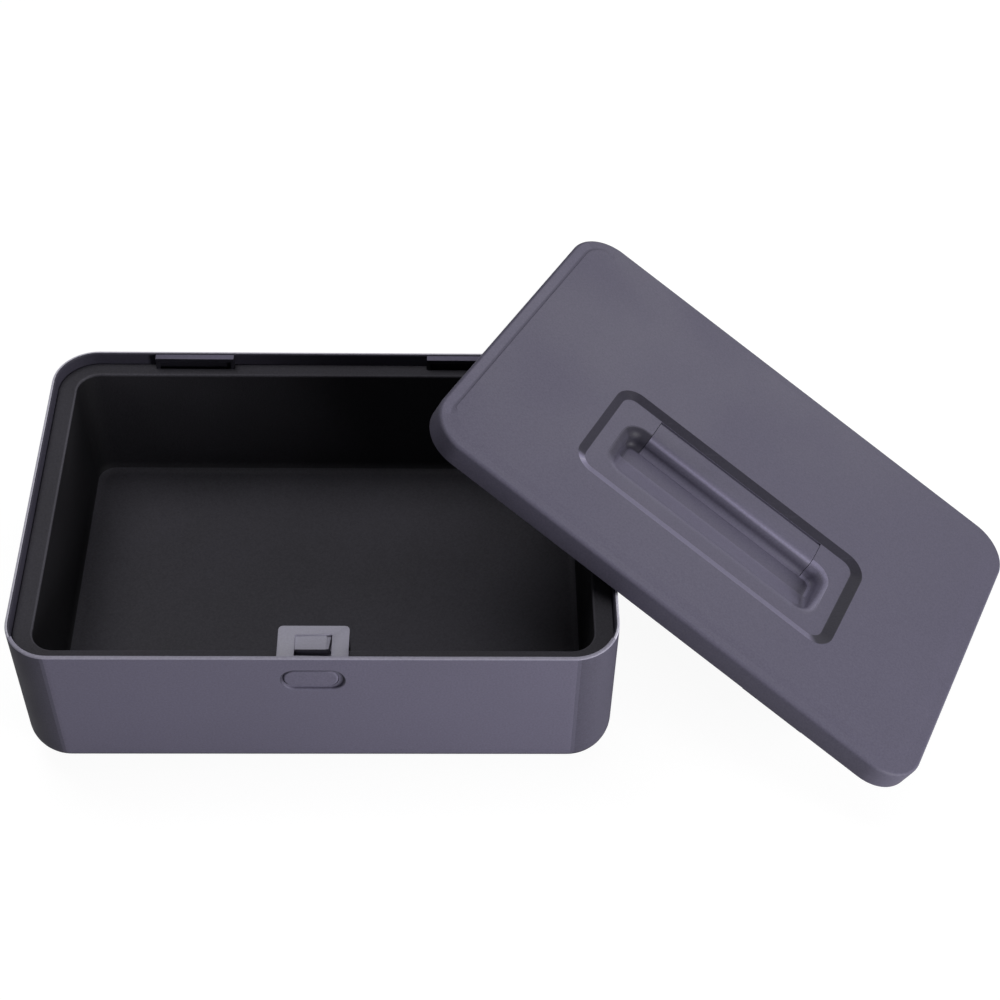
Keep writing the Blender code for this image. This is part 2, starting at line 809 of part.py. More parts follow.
def lean_by(lean_y_deg):
    # The lid leant by an angle about Y: its turn, its height and the x at which
    # its near edge is as high as the rim.
    lean = Euler(
        (math.radians(lean_x_deg), math.radians(lean_y_deg), math.radians(lean_z_deg)), "XYZ")
    down = lean.to_matrix().row[2]
    skirt_drop = drop_below(down, 0, -lid_height)
    panel_drop = drop_below(down, panel_inset, panel_low_z)
    height = lean_gap + max(skirt_drop, panel_drop)
    meets_x = (rim_z + lean_gap - height - down[1] * touch_y - down[2] * touch_z) / down[0]
    return lean, height, meets_x


for attempt in range(lean_tries):
    middle_deg = (least_lean_deg + most_lean_deg) / 2
    if lean_by(middle_deg)[2] < lean_touch_room - keeper_x:
        least_lean_deg = middle_deg
    else:
        most_lean_deg = middle_deg
lean, lid_z, touch_x = lean_by(middle_deg)
turned_by = lean.to_matrix()
touch = turned_by @ Vector((touch_x, touch_y, touch_z))
lid_frame = new_empty(
    "lid_frame", base_frame, (box_length / 2 - touch[0], lean_rim_y - touch[1], lid_z))
lid_frame.rotation_euler = lean
under_frame = new_empty("under_frame", lid_frame, (0, 0, 0))
under_frame.rotation_euler = (0, 0, math.pi)
print("lid leans", round(middle_deg, 6), "origin", [round(value, 6) for value in lid_frame.location])
print("lid axes", [[round(value, 6) for value in row] for row in turned_by])

lid_shell = centred_block(
    "lid_shell", lid_frame, box_length / 2, box_depth / 2, -lid_height, -border_step,
    corner=corner_radius, top=lid_edge_radius)
join(lid_shell, centred_block(
    "lid_field", lid_frame, box_length / 2 - border_width, box_depth / 2 - border_width,
    -lid_plate, 0, True, corner=corner_radius - border_width))
cut(lid_shell, centred_block(
    "lid_inside", lid_frame, box_length / 2 - lid_skirt, box_depth / 2 - lid_skirt,
    -lid_height - overrun, -border_step - lid_plate, True, corner=corner_radius - lid_skirt))
join(lid_shell, block(
    "dish_tub", lid_frame,
    (-dish_half_length - tub_wall, dish_front_y - tub_wall, -dish_depth - tub_wall),
    (dish_half_length + tub_wall, dish_rear_y + tub_wall, -lid_plate), True,
    corner=dish_radius + tub_wall))
join(lid_shell, block(
    "well_tub", lid_frame,
    (-lug_block_end, hollow_rear_y - tub_wall, well_floor_z - tub_wall),
    (lug_block_end, well_rear_y + tub_wall, -dish_depth - overlap), True))
join(lid_shell, block(
    "trough_tub", lid_frame,
    (trough_tub_inset - trough_half_length, trough_front_y + trough_tub_inset, tub_low_z),
    (trough_half_length - trough_tub_inset, hollow_rear_y + tub_wall,
     -dish_depth - overlap), True,
    corner=trough_corner))
boss_places = [(sx * lid_boss_x, sy * lid_boss_y) for sx in (-1, 1) for sy in (-1, 1)]
tongue_places = [(sign * keeper_x + step * tongue_screw_x, tongue_screw_y)
                 for side, sign in sides for step in (-1, 1)]
hook_places = [(step * hook_screw_x, hook_screw_y) for step in (-1, 1)]
for index, place in enumerate(boss_places + tongue_places + hook_places):
    join(lid_shell, cylinder(
        "lid_boss_%d" % index, under_frame, lid_boss_radius,
        (place[0], place[1], tub_low_z), (place[0], place[1], -lid_plate), True))
basin = block_mesh(
    (-dish_half_length, dish_front_y, skim), (dish_half_length, dish_rear_y, overrun),
    corner=dish_radius)
inset_bottom(basin, [(dish_slope_run, dish_depth + skim)],
             (dish_floor_shift_x, dish_floor_shift_y, 0))
cut(lid_shell, new_object("dish", mesh_of("dish", basin), lid_frame, True))
cut(lid_shell, block(
    "grip_well", lid_frame, (-well_half_length, hollow_front_y, well_floor_z),
    (well_half_length, well_rear_y, -dish_depth + overlap), True))
cut(lid_shell, block(
    "finger_hollow", lid_frame, (-well_half_length, hollow_front_y, trough_low_z),
    (well_half_length, hollow_rear_y, well_floor_z + overlap), True))
scoop = block_mesh(
    (-trough_half_length, trough_front_y, -dish_depth + skim),
    (trough_half_length, trough_rear_y, -dish_depth + overrun), corner=trough_corner)
turns = [math.pi / 2 * step / round_steps for step in range(round_steps + 1)]
scoop_steps = []
for start, stop in zip(turns, turns[1:]):
    scoop_steps.append((trough_mouth * (math.sin(stop) - math.sin(start)),
                        trough_mouth * (math.cos(start) - math.cos(stop))))
for start, stop in zip(turns, turns[1:]):
    scoop_steps.append((trough_round * (math.cos(start) - math.cos(stop)),
                        trough_round * (math.sin(stop) - math.sin(start))))
inset_bottom(scoop, scoop_steps, (0, 0, 0))
for vert in scoop.verts:
    # The scoop gets shallower towards the front, where it runs out in the dish floor.
    if vert.co.z < -dish_depth:
        share = min(1, max(trough_least_share, (vert.co.y - trough_front_y) / trough_ramp))
        vert.co.z = -dish_depth + (vert.co.z + dish_depth) * share
cut(lid_shell, new_object("trough", mesh_of("trough", scoop), lid_frame, True))
pin_hole_radius = pin_radius + pin_clearance
pin_left_x = -well_half_length - pin_bury
cut(lid_shell, cylinder(
    "pin_hole", lid_frame, pin_hole_radius,
    (pin_left_x - seat_gap, knuckle_y, knuckle_z),
    (lug_block_end + overrun, knuckle_y, knuckle_z), True))

lid_panel = centred_block(
    "lid_panel", lid_frame, box_length / 2 - panel_inset, box_depth / 2 - panel_inset,
    panel_low_z, panel_high_z, corner=corner_radius - panel_inset)
rib_half_x = box_length / 2 - panel_inset
rib_half_y = box_depth / 2 - panel_inset
rib = centred_block(
    "panel_rib", lid_frame, rib_half_x, rib_half_y, panel_high_z - overlap,
    panel_high_z + panel_rib_height, True, corner=corner_radius - panel_inset)
cut(rib, centred_block(
    "panel_rib_inside", lid_frame, rib_half_x - panel_rib_width, rib_half_y - panel_rib_width,
    panel_high_z - overrun, panel_high_z + panel_rib_height + overrun, True,
    corner=corner_radius - panel_inset - panel_rib_width))
join(lid_panel, rib)
for side, sign in sides:
    notch_half = keeper_width / 2 + seat_gap
    cut(lid_panel, block(
        "panel_notch_" + side, under_frame,
        (sign * keeper_x - notch_half, rear_panel_notch_y, panel_low_z - overrun),
        (sign * keeper_x + notch_half, box_depth / 2,
         panel_high_z + panel_rib_height + overrun), True))

# Hooks: two tongues at the hinge side, one strike hook at the latch
lid_screw = screw_mesh("lid_screw", lid_screw_length)
hook_screw = screw_mesh("hook_screw", hook_screw_length)
hook_top_z = panel_low_z - seat_gap
tongue_outline = [
    (tongue_plate_front_y, hook_top_z),
    (tongue_step_y, hook_top_z),
    (tongue_step_y, tip_z),
    (tongue_reach_y, tip_z),
    (tongue_reach_y, tip_z - tongue_tip),
    (tongue_reach_y - tongue_ramp, hook_top_z - tongue_plate_thickness),
    (tongue_plate_front_y, hook_top_z - tongue_plate_thickness),
]
tongues = []
for side, sign in sides:
    middle = sign * keeper_x
    name = "lid_tongue_" + side
    tongue = new_object(
        name, extruded_mesh(name, tongue_outline, tongue_plate_half), under_frame, False)
    tongue.location = (middle, 0, 0)
    for step in (-1, 1):
        label = "tongue_screw_%s_%s" % (side, "outer" if step == sign else "inner")
        head = (middle + step * tongue_screw_x, tongue_screw_y,
                hook_top_z - tongue_plate_thickness)
        screw_hole(tongue, under_frame, label, head, (0, 0, -1), hook_screw_length, True)
        screw_hole(lid_panel, under_frame, label + "_panel", head, (0, 0, -1),
                   hook_screw_length, False)
        screw_hole(lid_shell, under_frame, label + "_boss", head, (0, 0, -1),
                   hook_screw_length, False)
        place_screw(label, hook_screw, under_frame, head, (0, 0, -1))
    tongues.append(tongue)
strike_hook = block(
    "strike_hook", under_frame, (-hook_plate_half, hook_front_y, hook_top_z - hook_plate_thickness),
    (hook_plate_half, hook_plate_rear_y, hook_top_z))
hook_rear_y = hook_front_y + hook_leg_thickness
barb_y = hook_rear_y + hook_barb_reach
hook_outline = [
    (hook_front_y, hook_top_z - overlap),
    (hook_front_y, hook_low_z),
    (hook_rear_y, hook_low_z),
    (barb_y, hook_low_z + hook_barb_ramp),
    (barb_y, hook_barb_top_z),
    (hook_rear_y, hook_barb_top_z),
    (hook_rear_y, hook_top_z - overlap),
]
hook_leg = new_object(
    "hook_leg", extruded_mesh("hook_leg", hook_outline, hook_leg_half), under_frame, True)
join(strike_hook, hook_leg)
for index, place in enumerate(hook_places):
    label = "hook_screw_" + sides[index][0]
    head = (place[0], place[1], hook_top_z - hook_plate_thickness)
    screw_hole(strike_hook, under_frame, label, head, (0, 0, -1), hook_screw_length, True)
    screw_hole(lid_panel, under_frame, label + "_panel", head, (0, 0, -1), hook_screw_length, False)
    screw_hole(lid_shell, under_frame, label + "_boss", head, (0, 0, -1), hook_screw_length, False)
    place_screw(label, hook_screw, under_frame, head, (0, 0, -1))
for place in boss_places:
    label = "panel_screw_%s_%s" % (
        "rear" if place[1] > 0 else "front", "right" if place[0] > 0 else "left")
    head = (place[0], place[1], panel_low_z)
    screw_hole(lid_panel, under_frame, label, head, (0, 0, -1), lid_screw_length, True)
    screw_hole(lid_shell, under_frame, label + "_boss", head, (0, 0, -1), lid_screw_length, False)
    place_screw(label, lid_screw, under_frame, head, (0, 0, -1))

# Grip: its knuckle turns on a steel pin; the empty sits on the pin's axis
grip_frame = new_empty("grip_frame", lid_frame, (0, knuckle_y, knuckle_z))
nose_y = grip_front_y - knuckle_y
nose_centre = (nose_y + grip_nose_radius, knuckle_radius - grip_nose_radius)
inner_nose = grip_nose_radius - grip_plate
nose_low = nose_centre[1] - grip_nose_drop
outline = arc((0, 0), knuckle_radius, 90, -90, knuckle_steps)
outline += arc((0, 0), knuckle_radius, -90, knuckle_end_deg, small_steps)[1:]
outline += arc(nose_centre, inner_nose, 90, 180, small_steps)
outline += [(nose_y + grip_plate, nose_low), (nose_y, nose_low)]
outline += arc(nose_centre, grip_nose_radius, 180, 90, round_steps)
grip = new_object(
    "handle_grip", extruded_mesh("handle_grip", outline, grip_half_length), grip_frame, False)
cut(grip, cylinder(
    "grip_bore", grip_frame, pin_hole_radius, (-grip_half_length - overrun, 0, 0),
    (grip_half_length + overrun, 0, 0), True))
handle_pin = cylinder(
    "handle_pin", lid_frame, pin_radius, (pin_left_x, knuckle_y, knuckle_z),
    (lug_block_end - seat_gap, knuckle_y, knuckle_z))

coat(base_shell, plastic_colour, plastic_roughness)
coat(liner, liner_colour, liner_roughness)
coat(latch_housing, dark_plastic_colour, dark_roughness)
coat(latch_plate, plate_colour, plastic_roughness)
coat(latch_slider, dark_plastic_colour, dark_roughness)
coat(push_button, plastic_colour, plastic_roughness)
coat(lid_shell, plastic_colour, plastic_roughness)
coat(lid_panel, liner_colour, liner_roughness)
coat(grip, plastic_colour, plastic_roughness)
coat(handle_pin, steel_colour, steel_roughness, 1)
coat(strike_hook, dark_plastic_colour, dark_roughness)
for thing in keepers:
    coat(thing, plastic_colour, plastic_roughness)
for thing in tongues:
    coat(thing, dark_plastic_colour, dark_roughness)
for thing in springs:
    coat(thing, spring_colour, steel_roughness, 1)
bpy.context.view_layer.update()
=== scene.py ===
import math

import bmesh
import bpy
from mathutils import Euler, Matrix, Vector


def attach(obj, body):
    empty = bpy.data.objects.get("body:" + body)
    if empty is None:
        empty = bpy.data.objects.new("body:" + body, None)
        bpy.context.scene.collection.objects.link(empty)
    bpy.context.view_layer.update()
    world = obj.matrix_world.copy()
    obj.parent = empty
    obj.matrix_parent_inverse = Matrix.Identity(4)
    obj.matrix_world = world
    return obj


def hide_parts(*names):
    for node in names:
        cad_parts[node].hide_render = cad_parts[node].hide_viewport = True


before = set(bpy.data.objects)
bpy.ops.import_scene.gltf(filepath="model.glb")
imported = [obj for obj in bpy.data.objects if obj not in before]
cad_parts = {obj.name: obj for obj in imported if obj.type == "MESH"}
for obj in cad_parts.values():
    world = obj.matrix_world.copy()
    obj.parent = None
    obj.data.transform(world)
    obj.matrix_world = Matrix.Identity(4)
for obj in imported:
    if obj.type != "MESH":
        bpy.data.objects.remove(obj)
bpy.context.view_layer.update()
print("frame loaded, nodes:", len(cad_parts))

guard = 0.0004  # narrow strips that keep big flat faces flat under smooth shading
hair = 0.00001  # the least step, and the slack in comparisons
overlap = 0.001  # how far a joined block reaches into the wall behind it
# degrees from which an edge is sharp: anywhere, round a big flat face, on a CAD shape
shading = {"sharp": 32, "flat": 1.5, "flatArea": 0.0003, "cadSharp": 30}

lidPose = {"location": (0.240916, 0.017389, 0.093148), "turn": (-10.4, 22.564258, -30.6)}
lidTurn = Euler([math.radians(angle) for angle in lidPose["turn"]], "XYZ")
lidMatrix = Matrix.Translation(lidPose["location"]) @ lidTurn.to_matrix().to_4x4()


# Shared modelling helpers
def slab(halfX, halfY, lowZ, highZ, corner, steps=16):
    bm = bmesh.new()
    bmesh.ops.create_cube(bm, size=1)
    bmesh.ops.scale(bm, vec=(2 * halfX, 2 * halfY, highZ - lowZ), verts=bm.verts)
    bmesh.ops.translate(bm, vec=(0, 0, (lowZ + highZ) / 2), verts=bm.verts)
    if corner:
        upright = [e for e in bm.edges if abs(e.verts[0].co.z - e.verts[1].co.z) > hair]
        bmesh.ops.bevel(
            bm, geom=upright, offset=corner, segments=steps, profile=0.5, affect="EDGES",
            material=-1, clamp_overlap=False)
    return bm


def cap(bm, top):
    faces = sorted(bm.faces, key=lambda face: face.calc_center_median().z)
    return faces[-1] if top else faces[0]


def walk(bm, face, steps):
    # carries a flat cap on in steps of (inwards, out along its normal)
    for inward, along in steps:
        bmesh.ops.inset_region(
            bm, faces=[face], thickness=max(inward, hair), depth=along, use_even_offset=True,
            use_boundary=True)


def quarter(radius, steps, wallFirst, sign):
    # a quarter round as steps for walk, from wall to flat or from flat to wall
    turns = [math.pi / 2 * step / steps for step in range(steps + 1)]
    moves = []
    for start, stop in zip(turns, turns[1:]):
        rise = radius * (math.sin(stop) - math.sin(start))
        run = radius * (math.cos(start) - math.cos(stop))
        moves.append((run, sign * rise) if wallFirst else (rise, sign * run))
    return moves


def outline(face):
    xs = [vert.co.x for vert in face.verts]
    ys = [vert.co.y for vert in face.verts]
    centreX = (min(xs) + max(xs)) / 2
    centreY = (min(ys) + max(ys)) / 2
    halfX = (max(xs) - min(xs)) / 2
    halfY = (max(ys) - min(ys)) / 2
    straight = max(abs(v.co.y - centreY) for v in face.verts if v.co.x > max(xs) - hair)
    return centreX, centreY, halfX, halfY, halfY - straight


def reshape(face, centreX, centreY, halfX, halfY, corner):
    # moves a rounded rectangle's points to another rounded rectangle in the same plane
    wasX, wasY, wasHalfX, wasHalfY, wasCorner = outline(face)
    for vert in face.verts:
        sideX = 1 if vert.co.x > wasX else -1
        sideY = 1 if vert.co.y > wasY else -1
        outX = (vert.co.x - wasX - sideX * (wasHalfX - wasCorner)) / wasCorner
        outY = (vert.co.y - wasY - sideY * (wasHalfY - wasCorner)) / wasCorner
        vert.co.x = centreX + sideX * (halfX - corner) + outX * corner
        vert.co.y = centreY + sideY * (halfY - corner) + outY * corner


def split(bm, place, normal, geom=None):
    geom = geom or bm.verts[:] + bm.edges[:] + bm.faces[:]
    bmesh.ops.bisect_plane(bm, geom=geom, dist=hair / 10, plane_co=place, plane_no=normal)


def guardCorners(bm, halfX, halfY, corner):
    for sign in (-1, 1):
        split(bm, (sign * (halfX - corner - guard), 0, 0), (1, 0, 0))
        split(bm, (0, sign * (halfY - corner - guard), 0), (0, 1, 0))


def block(low, high, corner=0):
    # a box between two corners, its upright edges rounded
    size = [stop - start for start, stop in zip(low, high)]
    bm = slab(size[0] / 2, size[1] / 2, -size[2] / 2, size[2] / 2, corner, 6)
    for vert in bm.verts:
        vert.co = [vert.co[i] + (low[i] + high[i]) / 2 for i in range(3)]
    return bm


def meshFrom(name, bm):
    bmesh.ops.recalc_face_normals(bm, faces=bm.faces)
    mesh = bpy.data.meshes.new(name)
    bm.to_mesh(mesh)
    bm.free()
    return mesh


def carved(name, bm, tools):
    # works a list of (operation, bmesh) into a body and gives back a bmesh
    made = []
    for label, shape in [("body", bm)] + list(tools):
        thing = bpy.data.objects.new(name + label, meshFrom(name, shape))
        bpy.context.scene.collection.objects.link(thing)
        made.append(thing)
    for thing, (operation, shape) in zip(made[1:], tools):
        modifier = made[0].modifiers.new(thing.name, "BOOLEAN")
        modifier.operation = operation
        modifier.solver = "EXACT"
        modifier.object = thing
    bpy.context.view_layer.update()
    seen = made[0].evaluated_get(bpy.context.evaluated_depsgraph_get())
    result = bmesh.new()
    result.from_mesh(seen.to_mesh())
    seen.to_mesh_clear()
    for thing in made:
        bpy.data.meshes.remove(thing.data)
    return result


def refined(node, edge):
    # a CAD node's shape with its loose triangles merged and its sharp edges softened
    bm = bmesh.new()
    bm.from_mesh(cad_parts[node].data)
    bmesh.ops.remove_doubles(bm, verts=bm.verts, dist=0.000002)
    bmesh.ops.dissolve_limit(bm, angle_limit=math.radians(1), verts=bm.verts, edges=bm.edges)
    if edge:
        least = math.radians(shading["cadSharp"])
        sharp = [e for e in bm.edges
                 if len(e.link_faces) == 2 and e.calc_face_angle() > least]
        bmesh.ops.bevel(
            bm, geom=sharp, offset=edge, segments=2, profile=0.5, affect="EDGES", material=-1,
            clamp_overlap=True)
    return bm


def between(value, points):
    # reads a broken line of (value, result) points
    if value <= points[0][0]:
        return points[0][1]
    for start, stop in zip(points, points[1:]):
        if value <= stop[0]:
            share = (value - start[0]) / (stop[0] - start[0])
            return start[1] + (stop[1] - start[1]) * share
    return points[-1][1]


def paintLightAndShade(bm, shade):
    # writes painted light and shade for every face as a tone: how much lighter or darker than its
    # moulding it is drawn
    layer = bm.faces.layers.float.new("tone")
    bm.normal_update()
    for face in bm.faces:
        face[layer] = shade(face.calc_center_median(), face.normal)


def finishPiece(name, bm, body, material, nodes):
    # smooth shading, with sharp edges at corners and round the big flat faces
    bmesh.ops.recalc_face_normals(bm, faces=bm.faces)
    for face in bm.faces:
        face.smooth = True
    for edge in bm.edges:
        if len(edge.link_faces) == 2:
            angle = math.degrees(edge.calc_face_angle(0))
            area = max(face.calc_area() for face in edge.link_faces)
            atFlat = area > shading["flatArea"] and angle > shading["flat"]
            edge.smooth = not (angle > shading["sharp"] or atFlat)
    mesh = bpy.data.meshes.new(name)
    bm.to_mesh(mesh)
    bm.free()
    piece = bpy.data.objects.new(name, mesh)
    bpy.context.scene.collection.objects.link(piece)
    piece.data.materials.append(material)
    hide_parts(*nodes)
    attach(piece, body)


# Materials
def newGroup(name, inputs, outputs):
    group = bpy.data.node_groups.new(name, "ShaderNodeTree")
    for label, kind, value in inputs:
        socket = group.interface.new_socket(label, in_out="INPUT", socket_type=kind)
        if value is not None:
            socket.default_value = value
    for label, kind in outputs:
        group.interface.new_socket(label, in_out="OUTPUT", socket_type=kind)
    start = group.nodes.new("NodeGroupInput")
    stop = group.nodes.new("NodeGroupOutput")
    return group, start, stop


def addNode(tree, kind, settings=None, values=None):
    node = tree.nodes.new(kind)
    for label, value in (settings or {}).items():
        setattr(node, label, value)
    for label, value in (values or {}).items():
        node.inputs[label].default_value = value
    return node


def join(tree, source, output, target, socket):
    tree.links.new(source.outputs[output], target.inputs[socket])


# fine moulded skin: a slow change of tone, an eroded grain, small scuffs, painted light and shade
skinGroup, skinIn, skinOut = newGroup(
    "mouldedSkin",
    [("Vector", "NodeSocketVector", None), ("Colour", "NodeSocketColor", (0.13, 0.12, 0.17, 1)),
     ("Scuff Colour", "NodeSocketColor", (0.2, 0.19, 0.24, 1)),
     ("Mottle", "NodeSocketFloat", 0.08), ("Grain", "NodeSocketFloat", 0.1),
     ("Scuffs", "NodeSocketFloat", 0.2), ("Roughness", "NodeSocketFloat", 0.5),
     ("Tone", "NodeSocketFloat", 0.0)],
    [("Colour", "NodeSocketColor"), ("Roughness", "NodeSocketFloat"),
     ("Height", "NodeSocketFloat")])
slow = addNode(skinGroup, "ShaderNodeTexNoise", None, {"Scale": 14, "Detail": 3})
fine = addNode(skinGroup, "ShaderNodeTexNoise", None, {"Scale": 900, "Detail": 2})
pits = addNode(skinGroup, "ShaderNodeTexVoronoi", None, {"Scale": 1500})
streaks = addNode(skinGroup, "ShaderNodeTexNoise", None,
                  {"Scale": 1, "Detail": 4, "Roughness": 0.65})
stretch = addNode(skinGroup, "ShaderNodeMapping", None,
                  {"Rotation": (0.3, 0.2, 0.5), "Scale": (40, 420, 300)})
for target in (slow, fine, pits, stretch):
    join(skinGroup, skinIn, "Vector", target, "Vector")
join(skinGroup, stretch, "Vector", streaks, "Vector")
toneShift = addNode(skinGroup, "ShaderNodeMapRange", None,
                    {"From Min": 0.35, "From Max": 0.65, "To Min": -1, "To Max": 1})
join(skinGroup, slow, "Fac", toneShift, "Value")
grainShift = addNode(skinGroup, "ShaderNodeMapRange", None,
                     {"From Min": 0.3, "From Max": 0.7, "To Min": -1, "To Max": 1})
join(skinGroup, fine, "Fac", grainShift, "Value")
mottle = addNode(skinGroup, "ShaderNodeMath", {"operation": "MULTIPLY"})
join(skinGroup, toneShift, "Result", mottle, 0)
join(skinGroup, skinIn, "Mottle", mottle, 1)
speck = addNode(skinGroup, "ShaderNodeMath", {"operation": "MULTIPLY"})
join(skinGroup, grainShift, "Result", speck, 0)
join(skinGroup, skinIn, "Grain", speck, 1)
both = addNode(skinGroup, "ShaderNodeMath", {"operation": "ADD"})
join(skinGroup, mottle, "Value", both, 0)
join(skinGroup, speck, "Value", both, 1)
# the Tone input, painted light and shade, scales the colour
toneGain = addNode(skinGroup, "ShaderNodeMath", {"operation": "ADD"}, {1: 1})
join(skinGroup, skinIn, "Tone", toneGain, 0)
gain = addNode(skinGroup, "ShaderNodeMath", {"operation": "MULTIPLY_ADD"})
join(skinGroup, both, "Value", gain, 0)
join(skinGroup, toneGain, "Value", gain, 1)
join(skinGroup, toneGain, "Value", gain, 2)
toned = addNode(skinGroup, "ShaderNodeVectorMath", {"operation": "SCALE"})
join(skinGroup, skinIn, "Colour", toned, 0)
join(skinGroup, gain, "Value", toned, "Scale")
# the brightest painted highlights are drawn less saturated
highlightSaturation = addNode(skinGroup, "ShaderNodeMapRange", None,
                 {"From Min": 0.8, "From Max": 1.3, "To Min": 1, "To Max": 0.45})
join(skinGroup, skinIn, "Tone", highlightSaturation, "Value")
paledHighlights = addNode(skinGroup, "ShaderNodeHueSaturation")
join(skinGroup, highlightSaturation, "Result", paledHighlights, "Saturation")
join(skinGroup, toned, "Vector", paledHighlights, "Color")
scuffMask = addNode(skinGroup, "ShaderNodeMapRange", None, {"From Min": 0.62, "From Max": 0.78})
join(skinGroup, streaks, "Fac", scuffMask, "Value")
scuffShare = addNode(skinGroup, "ShaderNodeMath", {"operation": "MULTIPLY"})
join(skinGroup, scuffMask, "Result", scuffShare, 0)
join(skinGroup, skinIn, "Scuffs", scuffShare, 1)
scuffed = addNode(skinGroup, "ShaderNodeMix", {"data_type": "RGBA"})
join(skinGroup, scuffShare, "Value", scuffed, "Factor")
skinGroup.links.new(paledHighlights.outputs["Color"], scuffed.inputs[6])
skinGroup.links.new(skinIn.outputs["Scuff Colour"], scuffed.inputs[7])
skinGroup.links.new(scuffed.outputs[2], skinOut.inputs["Colour"])
roughShift = addNode(skinGroup, "ShaderNodeMath", {"operation": "MULTIPLY_ADD"}, {1: 0.06})
join(skinGroup, toneShift, "Result", roughShift, 0)
join(skinGroup, skinIn, "Roughness", roughShift, 2)
join(skinGroup, roughShift, "Value", skinOut, "Roughness")
height = addNode(skinGroup, "ShaderNodeMath", {"operation": "ADD"})
join(skinGroup, fine, "Fac", height, 0)
join(skinGroup, pits, "Distance", height, 1)
join(skinGroup, height, "Value", skinOut, "Height")

# drawn or turned steel: fine streaks across one direction, with dull spots
steelGroup, steelIn, steelOut = newGroup(
    "workedSteel",
    [("Vector", "NodeSocketVector", None), ("Colour", "NodeSocketColor", (0.4, 0.4, 0.42, 1)),
     ("Dull Colour", "NodeSocketColor", (0.2, 0.19, 0.18, 1)),
     ("Roughness", "NodeSocketFloat", 0.3)],
    [("Colour", "NodeSocketColor"), ("Roughness", "NodeSocketFloat"),
     ("Height", "NodeSocketFloat")])
lines = addNode(steelGroup, "ShaderNodeTexNoise", None, {"Scale": 1, "Detail": 3})
drawn = addNode(steelGroup, "ShaderNodeMapping", None, {"Scale": (600, 4000, 4000)})
spots = addNode(steelGroup, "ShaderNodeTexNoise", None, {"Scale": 500, "Detail": 4})
join(steelGroup, steelIn, "Vector", drawn, "Vector")
join(steelGroup, steelIn, "Vector", spots, "Vector")
join(steelGroup, drawn, "Vector", lines, "Vector")
dullMask = addNode(steelGroup, "ShaderNodeMapRange", None,
                   {"From Min": 0.45, "From Max": 0.75, "To Max": 0.7})
join(steelGroup, spots, "Fac", dullMask, "Value")
steelMix = addNode(steelGroup, "ShaderNodeMix", {"data_type": "RGBA"})
join(steelGroup, dullMask, "Result", steelMix, "Factor")
steelGroup.links.new(steelIn.outputs["Colour"], steelMix.inputs[6])
steelGroup.links.new(steelIn.outputs["Dull Colour"], steelMix.inputs[7])
steelGroup.links.new(steelMix.outputs[2], steelOut.inputs["Colour"])
steelRough = addNode(steelGroup, "ShaderNodeMath", {"operation": "MULTIPLY_ADD"}, {1: 0.25})
join(steelGroup, lines, "Fac", steelRough, 0)
join(steelGroup, steelIn, "Roughness", steelRough, 2)
join(steelGroup, steelRough, "Value", steelOut, "Roughness")
join(steelGroup, lines, "Fac", steelOut, "Height")


def makeMaterial(name, group, values, bump, shader):
    material = bpy.data.materials.new(name)
    material.use_nodes = True
    tree = material.node_tree
    surface = tree.nodes["Principled BSDF"]
    for label, value in shader.items():
        surface.inputs[label].default_value = value
    place = tree.nodes.new("ShaderNodeTexCoord")
    skin = tree.nodes.new("ShaderNodeGroup")
    skin.node_tree = group
    for label, value in values.items():
        skin.inputs[label].default_value = value
    bumps = addNode(tree, "ShaderNodeBump", None, {"Strength": bump[0], "Distance": bump[1]})
    join(tree, place, "Object", skin, "Vector")
    if group == skinGroup:
        tone = addNode(tree, "ShaderNodeAttribute", {"attribute_name": "tone"})
        join(tree, tone, "Fac", skin, "Tone")
    join(tree, skin, "Colour", surface, "Base Color")
    join(tree, skin, "Roughness", surface, "Roughness")
    join(tree, skin, "Height", bumps, "Height")
    join(tree, bumps, "Normal", surface, "Normal")
    return material


casePlastic = makeMaterial(
    "casePlastic", skinGroup,
    {"Colour": (0.141, 0.131, 0.189, 1), "Scuff Colour": (0.18, 0.17, 0.225, 1), "Mottle": 0.02,
     "Grain": 0.09, "Scuffs": 0.1, "Roughness": 0.52},
    (0.35, 0.00006), {"Specular IOR Level": 0.2})
# the case's hue drawn much lighter: painted light on the latch plate and tongue, which face up
plateLitPlastic = makeMaterial(
    "plateLitPlastic", skinGroup,
    {"Colour": (0.37, 0.358, 0.44, 1), "Scuff Colour": (0.37, 0.36, 0.42, 1), "Mottle": 0.04,
     "Grain": 0.05, "Scuffs": 0.15, "Roughness": 0.42},
    (0.3, 0.00005), {"Specular IOR Level": 0.45})
linerPlastic = makeMaterial(
    "linerPlastic", skinGroup,
    {"Colour": (0.054, 0.0515, 0.063, 1), "Scuff Colour": (0.05, 0.048, 0.056, 1), "Mottle": 0.1,
     "Grain": 0.12, "Scuffs": 0.25, "Roughness": 0.62},
    (0.5, 0.00009), {"Specular IOR Level": 0.2})
darkPlastic = makeMaterial(
    "darkPlastic", skinGroup,
    {"Colour": (0.03, 0.029, 0.036, 1), "Scuff Colour": (0.07, 0.07, 0.08, 1), "Mottle": 0.06,
     "Grain": 0.08, "Scuffs": 0.3, "Roughness": 0.5},
    (0.3, 0.00005), {})
screwSteel = makeMaterial(
    "screwSteel", steelGroup,
    {"Colour": (0.46, 0.46, 0.48, 1), "Dull Colour": (0.25, 0.24, 0.24, 1), "Roughness": 0.24},
    (0.2, 0.00003), {"Metallic": 1})
springSteel = makeMaterial(
    "springSteel", steelGroup,
    {"Colour": (0.56, 0.56, 0.58, 1), "Dull Colour": (0.3, 0.29, 0.28, 1), "Roughness": 0.18},
    (0.15, 0.00003), {"Metallic": 1})
print("materials made")

